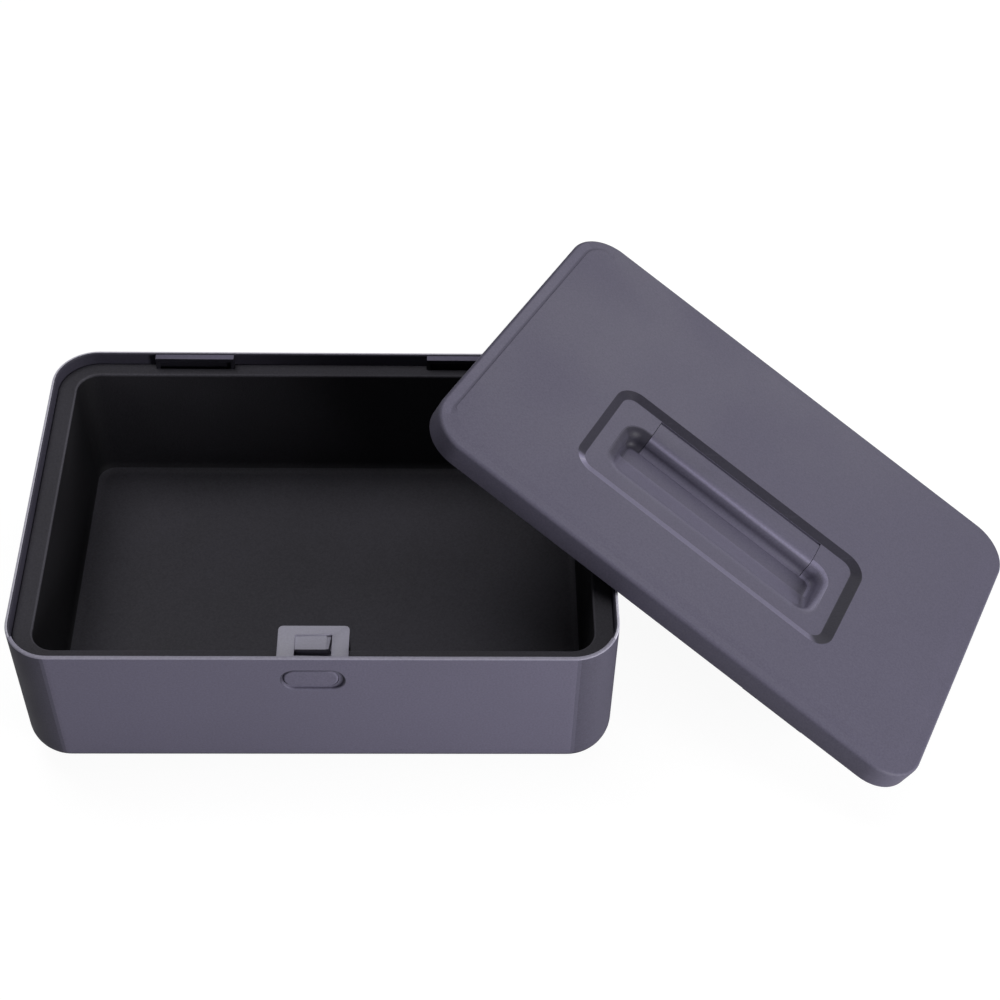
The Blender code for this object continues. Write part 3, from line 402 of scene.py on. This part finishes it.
# Case shell with rolled rim, button recess and low plinth
case = {"halfX": 0.165, "halfY": 0.1155, "corner": 0.0255, "plinth": 0.004, "rim": 0.106,
        "wall": 0.0024, "bottom": 0.018, "rimRound": 0.0008, "plinthInset": 0.02}
recess = {"z": 0.087, "width": 0.0331, "height": 0.0159, "depth": 0.0016, "mouth": 0.0011,
          "floor": 0.0004, "holeWidth": 0.0302, "holeHeight": 0.0146, "holeDepth": 0.006,
          "shift": -0.0012, "outside": 0.002}
latchSeat = {"half": 0.03, "deep": 0.0018, "low": 0.0755, "high": 0.0962}
keeperSeat = {"x": 0.082, "half": 0.0235, "deep": 0.0046, "low": 0.074, "high": 0.0897}
caseBm = slab(case["halfX"], case["halfY"], case["plinth"] + case["bottom"] + guard,
              case["rim"] - case["rimRound"] - guard, case["corner"], 20)
rimFlat = case["wall"] - 2 * case["rimRound"] - 2 * guard
innerRound = case["bottom"] - case["wall"]
innerDrop = case["rim"] - case["rimRound"] - case["plinth"] - case["wall"] - innerRound
topFace, underFace = cap(caseBm, True), cap(caseBm, False)
walk(caseBm, topFace,
     [(0, guard)] + quarter(case["rimRound"], 6, True, 1)
     + [(guard / 2, 0), (rimFlat + guard, 0), (guard / 2, 0)]
     + quarter(case["rimRound"], 6, False, -1)
     + [(0, -guard), (0, 2 * guard - innerDrop), (0, -guard)]
     + quarter(innerRound, 10, True, -1) + [(guard, 0)])
walk(caseBm, underFace,
     [(0, guard)] + quarter(case["bottom"], 12, True, 1)
     + [(guard, 0), (case["plinthInset"] - case["bottom"] - 3 * guard, 0), (guard, 0)]
     + quarter(guard, 3, False, 1) + [(0, case["plinth"] - 3 * guard)]
     + quarter(2 * guard, 4, True, 1) + [(guard, 0)])
guardCorners(caseBm, case["halfX"], case["halfY"], case["corner"])
wallInside = case["halfY"] - case["wall"]


def stadiumCutter(width, height, mouth, depth, floor, shift=0):
    # a flat oval with a flared mouth, sunk along +Y into the front wall
    bm = slab(width / 2 + mouth, height / 2 + mouth, hair, recess["outside"],
              height / 2 + mouth - guard, 16)
    moves = []
    if mouth:
        moves += quarter(mouth, 5, False, 1)
    moves.append((0, depth - mouth - floor + hair))
    if floor:
        moves += quarter(floor, 4, True, 1)
    walk(bm, cap(bm, False), moves)
    for vert in bm.verts:
        vert.co = (vert.co.x + shift, -vert.co.z - case["halfY"], vert.co.y + recess["z"])
    return bm


caseTools = [("UNION", block(
    (-latchSeat["half"], -wallInside - overlap, latchSeat["low"]),
    (latchSeat["half"], -wallInside + latchSeat["deep"], latchSeat["high"])))]
for sign in (-1, 1):
    seatX = sign * keeperSeat["x"]
    caseTools.append(("UNION", block(
        (seatX - keeperSeat["half"], wallInside - keeperSeat["deep"], keeperSeat["low"]),
        (seatX + keeperSeat["half"], wallInside + overlap, keeperSeat["high"]))))
caseTools.append(("DIFFERENCE", stadiumCutter(
    recess["width"], recess["height"], recess["mouth"], recess["depth"], recess["floor"])))
caseTools.append(("DIFFERENCE", stadiumCutter(
    recess["holeWidth"], recess["holeHeight"], 0, recess["holeDepth"], 0, recess["shift"])))
# painted shade and painted highlight round the button recess, by how its faces turn
recessShade = ((-1, -0.72), (0, -0.55), (0.5, -0.2), (0.9, 0.1), (1, 0.1))
recessZone = {"x": 0.02, "y": -0.1135, "z": 0.0105}
# painted light and shade of the case: highlight on the rim, shade inside, at the corners, at the
# foot
caseShade = {"inside": -0.68, "insideFrom": 0.03, "rim": 1.1, "frontBand": 0.012,
             "rearRim": 2.6, "rearShare": 1.7, "left": -0.5, "right": -0.42, "foot": -0.6,
             "darkest": -0.8}


def caseTone(place, normal):
    # painted highlight on the rim; painted shade on the band inside it, inside the case, on the
    # corners and on the foot
    outX = abs(place.x) - case["halfX"] + case["corner"]
    outY = abs(place.y) - case["halfY"] + case["corner"]
    reach = max(outX, outY) if min(outX, outY) < 0 else math.hypot(outX, outY)
    depth = case["corner"] - reach
    if place.z > case["rim"] - case["rimRound"]:
        atFront = place.y < case["wall"] - case["halfY"] + caseShade["frontBand"]
        width = case["wall"] if atFront else case["rimRound"] * caseShade["rearShare"]
        if depth < width:
            bright = caseShade["rim"] if atFront else caseShade["rearRim"]
            return between(normal.z, ((0.1, 0), (0.3, bright)))
        return caseShade["inside"]
    atRecess = abs(place.x) < recessZone["x"] and place.y < recessZone["y"]
    if atRecess and abs(place.z - recess["z"]) < recessZone["z"]:
        # round the button: painted shade above and at the ends, painted highlight below
        if normal.y > -0.995:
            return between(normal.z / max(hair, math.hypot(normal.x, normal.z)), recessShade)
        return 0
    if place.z > caseShade["insideFrom"] and normal.x * place.x + normal.y * place.y < 0:
        return caseShade["inside"]
    tone = between(normal.z, ((-0.44, caseShade["foot"]), (-0.3, 0)))
    if min(outX, outY) > 0:
        turn = math.degrees(math.atan2(min(outX, outY), max(outX, outY)))
        deep = caseShade["left"] if place.x < 0 else caseShade["right"]
        tone += between(turn, ((2, 0), (10, deep)))
    return max(caseShade["darkest"], tone)


caseBm = carved("case", caseBm, caseTools)
paintLightAndShade(caseBm, caseTone)
finishPiece("caseShell", caseBm, "box", casePlastic, ["base_shell"])
print("case shell made")

# Liner: ledge, soft lip, walls and floor of the tray
tray = {"ledge": 0.098, "thick": 0.0015, "halfX": 0.1516, "halfY": 0.1034, "corner": 0.0127,
        "floor": 0.015, "floorRound": 0.006, "lip": 0.0012, "draft": 0.0004, "play": 0.0003,
        "inset": 0.006}
keeperNotch = {"half": 0.0238, "front": 0.1087, "rear": 0.115, "low": 0.095, "high": 0.1}
latchNotch = {"half": 0.0192, "front": -0.1155, "rear": -0.0868, "low": 0.0742, "high": 0.1}
ledgeHalfX = case["halfX"] - case["wall"] - tray["play"]
ledgeHalfY = case["halfY"] - case["wall"] - tray["play"]
ledgeCorner = case["corner"] - case["wall"] - tray["play"]
linerBm = slab(ledgeHalfX, ledgeHalfY, tray["ledge"] - tray["thick"],
               tray["ledge"] - 2 * guard, ledgeCorner, 16)
topFace, underFace = cap(linerBm, True), cap(linerBm, False)
walk(linerBm, topFace, quarter(2 * guard, 3, True, 1) + [(guard, 0), (tray["inset"], 0)])
reshape(topFace, 0, 0, tray["halfX"] + tray["lip"] + guard, tray["halfY"] + tray["lip"] + guard,
        tray["corner"] + tray["lip"] + guard)
depth = tray["ledge"] - tray["floor"]
walk(linerBm, topFace,
     [(guard, 0)] + quarter(tray["lip"], 6, False, -1)
     + [(0, -guard), (tray["draft"], tray["lip"] + tray["floorRound"] + 2 * guard - depth),
        (0, -guard)]
     + quarter(tray["floorRound"], 8, True, -1) + [(guard, 0)])
walk(linerBm, underFace, [(tray["inset"], 0)])
reshape(underFace, 0, 0, tray["halfX"] + tray["thick"], tray["halfY"] + tray["thick"],
        tray["corner"] + tray["thick"])
walk(linerBm, underFace,
     [(0, depth - tray["floorRound"])]
     + quarter(tray["floorRound"] + tray["thick"] - hair, 8, True, 1))
linerTools = [("DIFFERENCE", block(
    (-latchNotch["half"], latchNotch["front"], latchNotch["low"]),
    (latchNotch["half"], latchNotch["rear"], latchNotch["high"])))]
for sign in (1, -1):
    notchX = sign * keeperSeat["x"]
    linerTools.insert(0, ("DIFFERENCE", block(
        (notchX - keeperNotch["half"], keeperNotch["front"], keeperNotch["low"]),
        (notchX + keeperNotch["half"], keeperNotch["rear"], keeperNotch["high"]))))
# painted shade on the tray's walls and a painted highlight on its lip, as tones
linerShade = {"rear": -0.55, "side": -0.81, "wallTop": 0.094, "lip": 0.25, "ledge": -0.12,
              "ledgeFrom": 0.096}


def linerTone(place, normal):
    # painted shade on the walls, deeper on the left and right, a painted highlight on the lip of
    # the tray; the ledge a little darker
    if place.z < linerShade["wallTop"] and normal.z < 0.72:
        side = min(1, abs(normal.x) * 1.3)
        return linerShade["rear"] + (linerShade["side"] - linerShade["rear"]) * side
    if linerShade["wallTop"] < place.z < tray["ledge"] - hair and 0.3 < normal.z < 0.98:
        return linerShade["lip"]
    return linerShade["ledge"] if place.z > linerShade["ledgeFrom"] else 0


linerBm = carved("liner", linerBm, linerTools)
paintLightAndShade(linerBm, linerTone)
finishPiece("linerTray", linerBm, "box", linerPlastic, ["liner"])
print("liner made")

# Hinge keepers, latch and button
# painted shade under the keeper's flange and a painted highlight on its sides
keeperShade = {"under": -0.88, "flange": 0.15, "flangeLow": 0.1033}


def keeperTone(place, normal):
    # painted shade in the pocket under the flange, a painted highlight on the flange's sides
    if place.z < keeperShade["flangeLow"]:
        return keeperShade["under"]
    return keeperShade["flange"] if normal.z < 0.9 else 0


for side in ("left", "right"):
    keeperBm = refined("hinge_keeper_" + side, 0.00025)
    paintLightAndShade(keeperBm, keeperTone)
    finishPiece("keeper" + side.capitalize(), keeperBm, "box", casePlastic,
                ["hinge_keeper_" + side])
plateEdge = {"crisp": 0.0002, "angle": 0.5}
# glow is the painted highlight on the window's soft edges
window = {"left": -0.01, "rear": -0.0946, "top": 0.1, "soft": 0.00095, "glow": 0.8,
          "reach": 0.0011, "past": 0.001, "half": 0.0105}


def onWindow(edge):
    # the upper edges of the window's left and rear sides
    if any(abs(vert.co.z - window["top"]) > hair for vert in edge.verts):
        return False
    atLeft = all(abs(vert.co.x - window["left"]) < hair for vert in edge.verts)
    return atLeft or all(abs(vert.co.y - window["rear"]) < hair for vert in edge.verts)


def plateTone(place, normal):
    # painted highlight on the window's soft edges, so they look as light as the plate's top
    reach = window["reach"]
    atLeft = abs(place.x - window["left"]) < reach and place.y < window["rear"] + window["past"]
    atRear = abs(place.y - window["rear"]) < reach and abs(place.x) < window["half"]
    return window["glow"] * (1 - max(0, normal.z)) if atLeft or atRear else 0


plateBm = refined("latch_plate", 0)
crisp = [edge for edge in plateBm.edges
         if not onWindow(edge) and edge.calc_face_angle(0) > plateEdge["angle"]]
bmesh.ops.bevel(
    plateBm, geom=crisp, offset=plateEdge["crisp"], segments=2, profile=0.5, affect="EDGES",
    material=-1, clamp_overlap=True)
soft = [edge for edge in plateBm.edges if onWindow(edge)]
bmesh.ops.bevel(
    plateBm, geom=soft, offset=window["soft"], segments=3, profile=0.5, affect="EDGES",
    material=-1, clamp_overlap=False)
paintLightAndShade(plateBm, plateTone)
finishPiece("latchPlate", plateBm, "box", plateLitPlastic, ["latch_plate"])
finishPiece("latchHousing", refined("latch_housing", 0.0002), "box", darkPlastic,
            ["latch_housing"])
# the CAD tongue's front is cut away, and a wider one reaches under the plate's window
tongue = {"edge": 0.0003, "low": (-0.0112, -0.1037, 0.0966), "high": (0.0072, -0.0936, 0.0989),
          "corner": 0.0006, "cutLow": (-0.012, -0.107, 0.0945), "cutHigh": (0.012, -0.1031, 0.1)}
sliderBm = carved("slider", refined("latch_slider", tongue["edge"]), [
    ("DIFFERENCE", block(tongue["cutLow"], tongue["cutHigh"])),
    ("UNION", block(tongue["low"], tongue["high"], tongue["corner"]))])
finishPiece("latchSlider", sliderBm, "button", plateLitPlastic, ["latch_slider"])

button = {"halfX": 0.0148, "halfY": 0.007, "inset": 0.0008, "dome": 0.0012, "length": 0.0034,
          "crownIn": 0.0036, "crown": 0.00012, "flangeLow": (-0.0166, -0.111, 0.0815),
          "flangeHigh": (0.0166, -0.1095, 0.0925)}
buttonBm = slab(button["halfX"], button["halfY"], -button["length"], -button["dome"],
                button["halfY"] - guard, 20)
walk(buttonBm, cap(buttonBm, True),
     quarter(button["dome"], 6, True, 1) + [(guard, 0), (button["crownIn"], button["crown"])])
for vert in buttonBm.verts:
    vert.co = (vert.co.x + recess["shift"], -vert.co.z - case["halfY"] + button["inset"],
               vert.co.y + recess["z"])
buttonBm = carved("button", buttonBm, [
    ("UNION", block(button["flangeLow"], button["flangeHigh"]))])
finishPiece("pushButton", buttonBm, "button", casePlastic, ["push_button"])
print("latch and button made")

# Lid: rolled edge, raised field, dish and finger trough in one skin
lid = {"halfX": 0.1648, "halfY": 0.1153, "corner": 0.0253, "height": 0.014, "edge": 0.0019,
       "border": 0.007, "step": 0.0005, "skirt": 0.0024, "plate": 0.0024, "stepRound": 0.0002,
       "stepStart": -0.152, "stepFade": 0.0124, "stepRun": 0.0014, "slopeX": 0.04,
       "slopeY": 0.05, "fieldX": 0.15, "fieldY": 0.1, "nearEdge": -0.0905, "nearFade": 0.008,
       "inset": 0.004}
dish = {"left": -0.0897, "right": 0.0897, "front": -0.067, "rear": 0.0142, "corner": 0.014,
        "depth": 0.003, "mouth": 0.0012, "foot": 0.0016, "run": 0.0064, "shiftX": -0.0008,
        "shiftY": 0.0016, "steps": 6, "floorInset": 0.001, "wall": 0.0018,
        "underCorner": 0.0158, "underDepth": 0.0019}
trough = {"half": 0.075, "front": -0.052, "rear": -0.005, "corner": 0.014, "mouth": 0.006,
          "round": 0.004, "ramp": 0.026, "leastShare": 0.08, "low": -0.0131, "cuts": 6,
          "bareEnd": 0.0586}
troughUnder = {"y": -0.0193, "halfX": 0.0728, "halfY": 0.0305, "corner": 0.012, "depth": 0.0095}
gripBay = {"half": 0.0589, "front": -0.013, "rear": 0.0094, "low": -0.0097, "top": -0.002}
lipBay = {"half": 0.0589, "front": -0.0152, "rear": -0.005, "low": -0.013, "top": -0.008}
lidBm = slab(lid["halfX"], lid["halfY"], -lid["height"] + guard,
             -lid["step"] - lid["edge"] - guard, lid["corner"], 20)
topFace, underFace = cap(lidBm, True), cap(lidBm, False)
stepRound = lid["stepRound"]
walk(lidBm, topFace,
     [(0, guard)] + quarter(lid["edge"], 8, True, 1)
     + [(guard, 0), (lid["border"] - lid["edge"] - 2 * guard, 0), (guard - stepRound, 0)]
     + [(lid["stepRun"], lid["step"] - stepRound)] + quarter(stepRound, 3, True, 1)
     + [(guard, 0), (lid["inset"], 0)])
fieldEdge = set(topFace.verts)
for vert in lidBm.verts:
    # the step stands along the left end only and runs out into a gentle slope elsewhere
    outside = abs(vert.co.x) > lid["fieldX"] or abs(vert.co.y) > lid["fieldY"]
    if outside and vert not in fieldEdge and vert.co.z > hair - lid["step"]:
        share = min(1, max(0, (vert.co.x - lid["stepStart"]) / lid["stepFade"],
                           (lid["nearEdge"] - vert.co.y) / lid["nearFade"]))
        share = share * share * (3 - 2 * share)
        vert.co.z *= 1 - share
        vert.co.y *= 1 - share * lid["slopeY"]
        if vert.co.x > 0:
            vert.co.x *= 1 - share * lid["slopeX"]
dishHalfX = (dish["right"] - dish["left"]) / 2
dishHalfY = (dish["rear"] - dish["front"]) / 2
dishX = (dish["right"] + dish["left"]) / 2
dishY = (dish["rear"] + dish["front"]) / 2
reshape(topFace, dishX, dishY, dishHalfX + guard, dishHalfY + guard, dish["corner"] + guard)


def dishSide():
    # the sloped side between two soft rounds, as (inwards, down) from the mouth
    slope = math.atan2(dish["depth"], dish["run"])
    points = []
    for i in range(dish["steps"] + 1):
        turn = slope * i / dish["steps"]
        points.append((dish["mouth"] * math.sin(turn), dish["mouth"] * (1 - math.cos(turn))))
    for i in range(dish["steps"] + 1):
        turn = slope * (dish["steps"] - i) / dish["steps"]
        points.append((dish["run"] - dish["foot"] * math.sin(turn),
                       dish["depth"] - dish["foot"] * (1 - math.cos(turn))))
    return [(b[0] - a[0], a[1] - b[1]) for a, b in zip(points, points[1:])]


walk(lidBm, topFace, [(guard, 0)])
for inward, down in dishSide():
    walk(lidBm, topFace, [(inward, down)])
    share = inward / dish["run"]
    bmesh.ops.translate(lidBm, vec=(dish["shiftX"] * share, dish["shiftY"] * share, 0),
                        verts=topFace.verts)
walk(lidBm, topFace, [(guard, 0), (dish["floorInset"], 0)])
reshape(topFace, 0, (trough["front"] + trough["rear"]) / 2, trough["half"] + guard,
        (trough["rear"] - trough["front"]) / 2 + guard, trough["corner"] + guard)
walk(lidBm, topFace,
     [(guard, 0)] + quarter(trough["mouth"], 10, False, -1)
     + quarter(trough["round"], 8, True, -1) + [(guard, 0)])
for step in range(1, trough["cuts"] + 1):
    inTrough = [face for face in lidBm.faces
                if trough["low"] < face.calc_center_median().z < -dish["depth"] - hair
                and all(vert.co.z < -dish["depth"] + hair
                        and abs(vert.co.x) < trough["half"] + hair for vert in face.verts)]
    parts = set(inTrough)
    for face in inTrough:
        parts.update(face.edges)
        parts.update(face.verts)
    cutY = trough["front"] + step * trough["ramp"] / trough["cuts"]
    split(lidBm, (0, cutY, 0), (0, 1, 0), list(parts))
for vert in lidBm.verts:
    inside = abs(vert.co.x) < trough["half"] and trough["front"] < vert.co.y < trough["rear"]
    if inside and trough["low"] < vert.co.z < -dish["depth"]:
        # the trough gets shallower towards its front and runs out in the dish floor
        share = (vert.co.y - trough["front"]) / trough["ramp"]
        share = min(1, max(trough["leastShare"], share))
        vert.co.z = -dish["depth"] + (vert.co.z + dish["depth"]) * share
walk(lidBm, underFace,
     [(guard / 4, guard), (lid["skirt"] - guard / 2, 0), (guard / 4, -guard),
      (0, lid["step"] + lid["plate"] + guard - lid["height"] + guard), (lid["inset"], 0)])
reshape(underFace, dishX, dishY, dishHalfX + dish["wall"], dishHalfY + dish["wall"],
        dish["underCorner"])
walk(lidBm, underFace, [(0, dish["underDepth"]), (lid["inset"], 0)])
reshape(underFace, 0, troughUnder["y"], troughUnder["halfX"], troughUnder["halfY"],
        troughUnder["corner"])
walk(lidBm, underFace, [(0, troughUnder["depth"])])
guardCorners(lidBm, lid["halfX"], lid["halfY"], lid["corner"])
lidBm = carved("lid", lidBm, [
    ("DIFFERENCE", block((-bay["half"], bay["front"], bay["low"]),
                         (bay["half"], bay["rear"], bay["top"]))) for bay in (gripBay, lipBay)])
# painted shade: top, skirt, riser, trough's left end; painted light: border, ramp, right end
lidShade = {"top": -0.225, "skirt": -0.27, "border": 0.12, "riser": -0.5, "ramp": 0.3,
            "hollow": -0.7, "swell": 0.9, "stepZone": -0.148, "borderZone": -0.158}
# painted shade on the dish's left, right and rear sides, a painted highlight on its near side
# by the way a dish side faces, in degrees: left 0, near 90, right 180, rear -90
dishShade = ((-180, -0.68), (18, -0.68), (32, 0.5), (46, 1.7), (64, 0.9), (98, 0.75), (122, -0.6),
             (180, -0.68))
dishZone = {"half": 0.0905, "front": -0.068, "rear": 0.0153}
# painted shade on the trough's left end, painted highlight on its right: by facing, then by tilt
hollowTurn = ((-90, 1), (-20, 1), (20, 0.5), (60, -0.3))
hollowTilt = ((0.01, 0), (0.06, 0.5), (0.25, 1))
swellTurn = ((100, 0.1), (150, 0.6), (180, 1), (270, 1))
swellTilt = ((0.08, 0), (0.25, 1), (0.5, 1), (0.75, 0.2))


def lidTone(place, normal):
    # painted light and shade of the dish and trough, the step at the left end and the skirt
    tilt = math.hypot(normal.x, normal.y)
    turn = math.degrees(math.atan2(normal.y, normal.x))
    inDish = abs(place.x) < dishZone["half"] and dishZone["front"] < place.y < dishZone["rear"]
    tone = 0
    if inDish and normal.z > 0:
        if place.z > -dish["depth"] - hair:
            tone = between(turn, dishShade)
            tone *= between(tilt, ((0.03, 0), (0.22, 1)) if tone < 0 else ((0.2, 0), (0.41, 1)))
        elif place.x < -trough["bareEnd"]:
            tone = lidShade["hollow"] * between(turn, hollowTurn) * between(tilt, hollowTilt)
        elif place.x > trough["bareEnd"]:
            tone = lidShade["swell"] * between(turn % 360, swellTurn) * between(tilt, swellTilt)
        else:
            tone = lidShade["ramp"] * between(normal.y, ((0, 0), (0.3, 1)))
    elif place.x < lidShade["stepZone"] and place.z > -lid["step"] - hair and normal.z > 0:
        onBorder = place.x < lidShade["borderZone"]
        tone = lidShade["riser"] if tilt > 0.3 else lidShade["border"] * onBorder
    elif tilt > 0.7:
        return lidShade["skirt"]
    return (1 + lidShade["top"]) * (1 + tone) - 1


paintLightAndShade(lidBm, lidTone)
bmesh.ops.transform(lidBm, matrix=lidMatrix, verts=lidBm.verts)
finishPiece("lidShell", lidBm, "lid", casePlastic, ["lid_shell"])
print("lid made")

# Grip, flush with the dish floor
grip = {"half": 0.0586, "front": -0.011, "rear": 0.0091, "top": -0.003, "low": -0.0096,
        "nose": 0.006, "crown": 0.0024, "knuckle": 0.0031, "wall": 0.0026, "lip": -0.0129,
        "lipOut": 0.0036, "lipTop": -0.0092, "bite": 0.0004, "fillet": 0.0038,
        "filletUp": 0.0001, "filletPast": 0.004, "endWall": 0.002, "hollowLow": -0.012,
        "hollowRear": 0.0012, "hollowCorner": 0.0015, "endEdge": 0.0003}
gripBm = block((-grip["half"], grip["front"], grip["low"]),
               (grip["half"], grip["rear"], grip["top"]))


def along(bm, y, z):
    return [e for e in bm.edges
            if all(abs(v.co.y - y) < hair and abs(v.co.z - z) < hair for v in e.verts)]


for y, z, radius, steps in ((grip["front"], grip["top"], grip["nose"], 20),
                            (grip["rear"], grip["top"], grip["crown"], 8),
                            (grip["rear"], grip["low"], grip["knuckle"], 8)):
    bmesh.ops.bevel(
        gripBm, geom=along(gripBm, y, z), offset=radius, segments=steps, profile=0.5,
        affect="EDGES", material=-1, clamp_overlap=False)
scoop = bmesh.new()
bmesh.ops.create_cone(
    scoop, cap_ends=True, segments=64, radius1=grip["fillet"], radius2=grip["fillet"],
    depth=2 * grip["half"] + grip["filletPast"])
bmesh.ops.rotate(scoop, verts=scoop.verts, matrix=Matrix.Rotation(math.pi / 2, 3, "Y"))
bmesh.ops.translate(
    scoop, verts=scoop.verts,
    vec=(0, grip["front"] - grip["fillet"], grip["lip"] + grip["fillet"] + grip["filletUp"]))
gripBm = carved("grip", gripBm, [
    ("UNION", block((-grip["half"], grip["front"] - grip["lipOut"], grip["lip"]),
                    (grip["half"], grip["front"] + grip["wall"], grip["low"] + grip["bite"]))),
    ("DIFFERENCE", scoop),
    ("DIFFERENCE", block(
        (-grip["half"] + grip["endWall"], grip["front"] + grip["wall"], grip["hollowLow"]),
        (grip["half"] - grip["endWall"], grip["hollowRear"], grip["top"] - grip["wall"]),
        grip["hollowCorner"]))])
ends = [e for e in gripBm.edges if all(abs(v.co.x) > grip["half"] - hair for v in e.verts)]
bmesh.ops.bevel(
    gripBm, geom=ends, offset=grip["endEdge"], segments=2, profile=0.5, affect="EDGES",
    material=-1, clamp_overlap=True)
# painted highlight and shade by how far the nose leans forward, in degrees
noseShade = ((2, 0), (14, 0.08), (26, 0.4), (35, 1.0), (42, 0.75), (52, -0.1), (70, -0.25),
             (90, -0.25))
# painted light and shade on the lip below the nose, by its lean
lipShade = ((10, 0.1), (80, -0.25))


def gripTone(place, normal):
    # a painted highlight along the nose, with painted shade below it
    tone = 0
    if normal.y < 0 and place.y < grip["front"] + grip["nose"] and abs(normal.x) < 0.5:
        lean = math.degrees(math.atan2(-normal.y, normal.z))
        tone = between(lean, lipShade if place.z < grip["lipTop"] else noseShade)
    return (1 + lidShade["top"]) * (1 + tone) - 1


paintLightAndShade(gripBm, gripTone)
bmesh.ops.transform(gripBm, matrix=lidMatrix, verts=gripBm.verts)
finishPiece("liftGrip", gripBm, "grip", casePlastic, ["handle_grip"])

# Lid underside: panel, hinge tongues and strike hook
finishPiece("lidPanel", refined("lid_panel", 0.0003), "lid", linerPlastic,
            ["lid_panel"])
for side in ("left", "right"):
    finishPiece("hingeTongue" + side.capitalize(), refined("lid_tongue_" + side, 0.00025), "lid",
                darkPlastic, ["lid_tongue_" + side])
finishPiece("strikeHook", refined("strike_hook", 0.0003), "lid", darkPlastic,
            ["strike_hook"])
print("grip and underside made")

# Steel parts keep their CAD shapes
for name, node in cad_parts.items():
    if "screw" in name or name == "handle_pin":
        node.data.materials.clear()
        node.data.materials.append(screwSteel)
    if "spring" in name:
        node.data.materials.clear()
        node.data.materials.append(springSteel)

# Floor, world, lights and camera
floorLook = {"colour": (0.8, 0.8, 0.8, 1), "roughness": 0.9, "glow": 0.93, "dim": 0.8,
             "size": 6}
floorMaterial = bpy.data.materials.new("floorPaper")
floorMaterial.use_nodes = True
tree = floorMaterial.node_tree
paper = tree.nodes["Principled BSDF"]
paper.inputs["Base Color"].default_value = floorLook["colour"]
paper.inputs["Roughness"].default_value = floorLook["roughness"]
paper.inputs["Specular IOR Level"].default_value = 0
glow = addNode(tree, "ShaderNodeEmission", None, {"Strength": floorLook["glow"]})
rays = tree.nodes.new("ShaderNodeLightPath")
dimmed = addNode(tree, "ShaderNodeMixShader", None, {0: floorLook["dim"]})
black = addNode(tree, "ShaderNodeBsdfTransparent", None, {"Color": (0, 0, 0, 1)})
summed = tree.nodes.new("ShaderNodeAddShader")
chosen = tree.nodes.new("ShaderNodeMixShader")
tree.links.new(paper.outputs[0], dimmed.inputs[1])
tree.links.new(black.outputs[0], dimmed.inputs[2])
tree.links.new(dimmed.outputs[0], summed.inputs[0])
tree.links.new(glow.outputs[0], summed.inputs[1])
tree.links.new(rays.outputs["Is Camera Ray"], chosen.inputs[0])
tree.links.new(paper.outputs[0], chosen.inputs[1])
tree.links.new(summed.outputs[0], chosen.inputs[2])
tree.links.new(chosen.outputs[0], tree.nodes["Material Output"].inputs["Surface"])
floorBm = bmesh.new()
bmesh.ops.create_grid(floorBm, x_segments=1, y_segments=1, size=floorLook["size"])
floorMesh = bpy.data.meshes.new("floor")
floorBm.to_mesh(floorMesh)
floorBm.free()
floor = bpy.data.objects.new("floor", floorMesh)
floor.data.materials.append(floorMaterial)
bpy.context.scene.collection.objects.link(floor)

sky = {"light": 0.08, "colour": (0.97, 0.98, 1.0, 1)}
world = bpy.data.worlds.new("softRoom")
bpy.context.scene.world = world
world.use_nodes = True
tree = world.node_tree
room = tree.nodes["Background"]
room.inputs["Color"].default_value = sky["colour"]
room.inputs["Strength"].default_value = sky["light"]
white = addNode(tree, "ShaderNodeBackground", None, {"Color": (1, 1, 1, 1), "Strength": 1})
rays = tree.nodes.new("ShaderNodeLightPath")
chosen = tree.nodes.new("ShaderNodeMixShader")
tree.links.new(rays.outputs["Is Camera Ray"], chosen.inputs[0])
tree.links.new(room.outputs[0], chosen.inputs[1])
tree.links.new(white.outputs[0], chosen.inputs[2])
tree.links.new(chosen.outputs[0], tree.nodes["World Output"].inputs["Surface"])

# azimuth from the front (-Y) towards the right (+X), height, distance, size and power
lamps = {
    "frontRight": {"azimuth": 50, "height": 11, "distance": 1.6, "size": 0.65, "power": 23},
    "backLeft": {"azimuth": 230, "height": 65, "distance": 1.6, "size": 0.7, "power": 7},
    "behindRight": {"azimuth": 138, "height": 25, "distance": 1.6, "size": 0.7, "power": 5.7},
    "overhead": {"azimuth": 180, "height": 88, "distance": 1.6, "size": 0.7, "power": 2.8},
}
aim = Vector((0.1, 0, 0.05))
for name, lamp in lamps.items():
    light = bpy.data.lights.new(name, "AREA")
    light.size = lamp["size"]
    light.energy = lamp["power"]
    azimuth = math.radians(lamp["azimuth"])
    height = math.radians(lamp["height"])
    direction = Vector((math.sin(azimuth) * math.cos(height),
                        -math.cos(azimuth) * math.cos(height), math.sin(height)))
    holder = bpy.data.objects.new(name, light)
    holder.location = aim + direction * lamp["distance"]
    holder.rotation_euler = direction.to_track_quat("Z", "Y").to_euler()
    bpy.context.scene.collection.objects.link(holder)

view = {"place": (0.075502, -0.722100, 0.929039), "lens": 69.24057,
        "turn": (41.1452930, -1.1707887, -0.7213974)}
camera = bpy.data.cameras.new("photographView")
camera.lens = view["lens"]
camera.sensor_width = 36
holder = bpy.data.objects.new("photographView", camera)
holder.location = view["place"]
holder.rotation_euler = [math.radians(angle) for angle in view["turn"]]
bpy.context.scene.collection.objects.link(holder)
bpy.context.scene.camera = holder
bpy.context.scene.view_settings.view_transform = "Standard"

print("scene made")
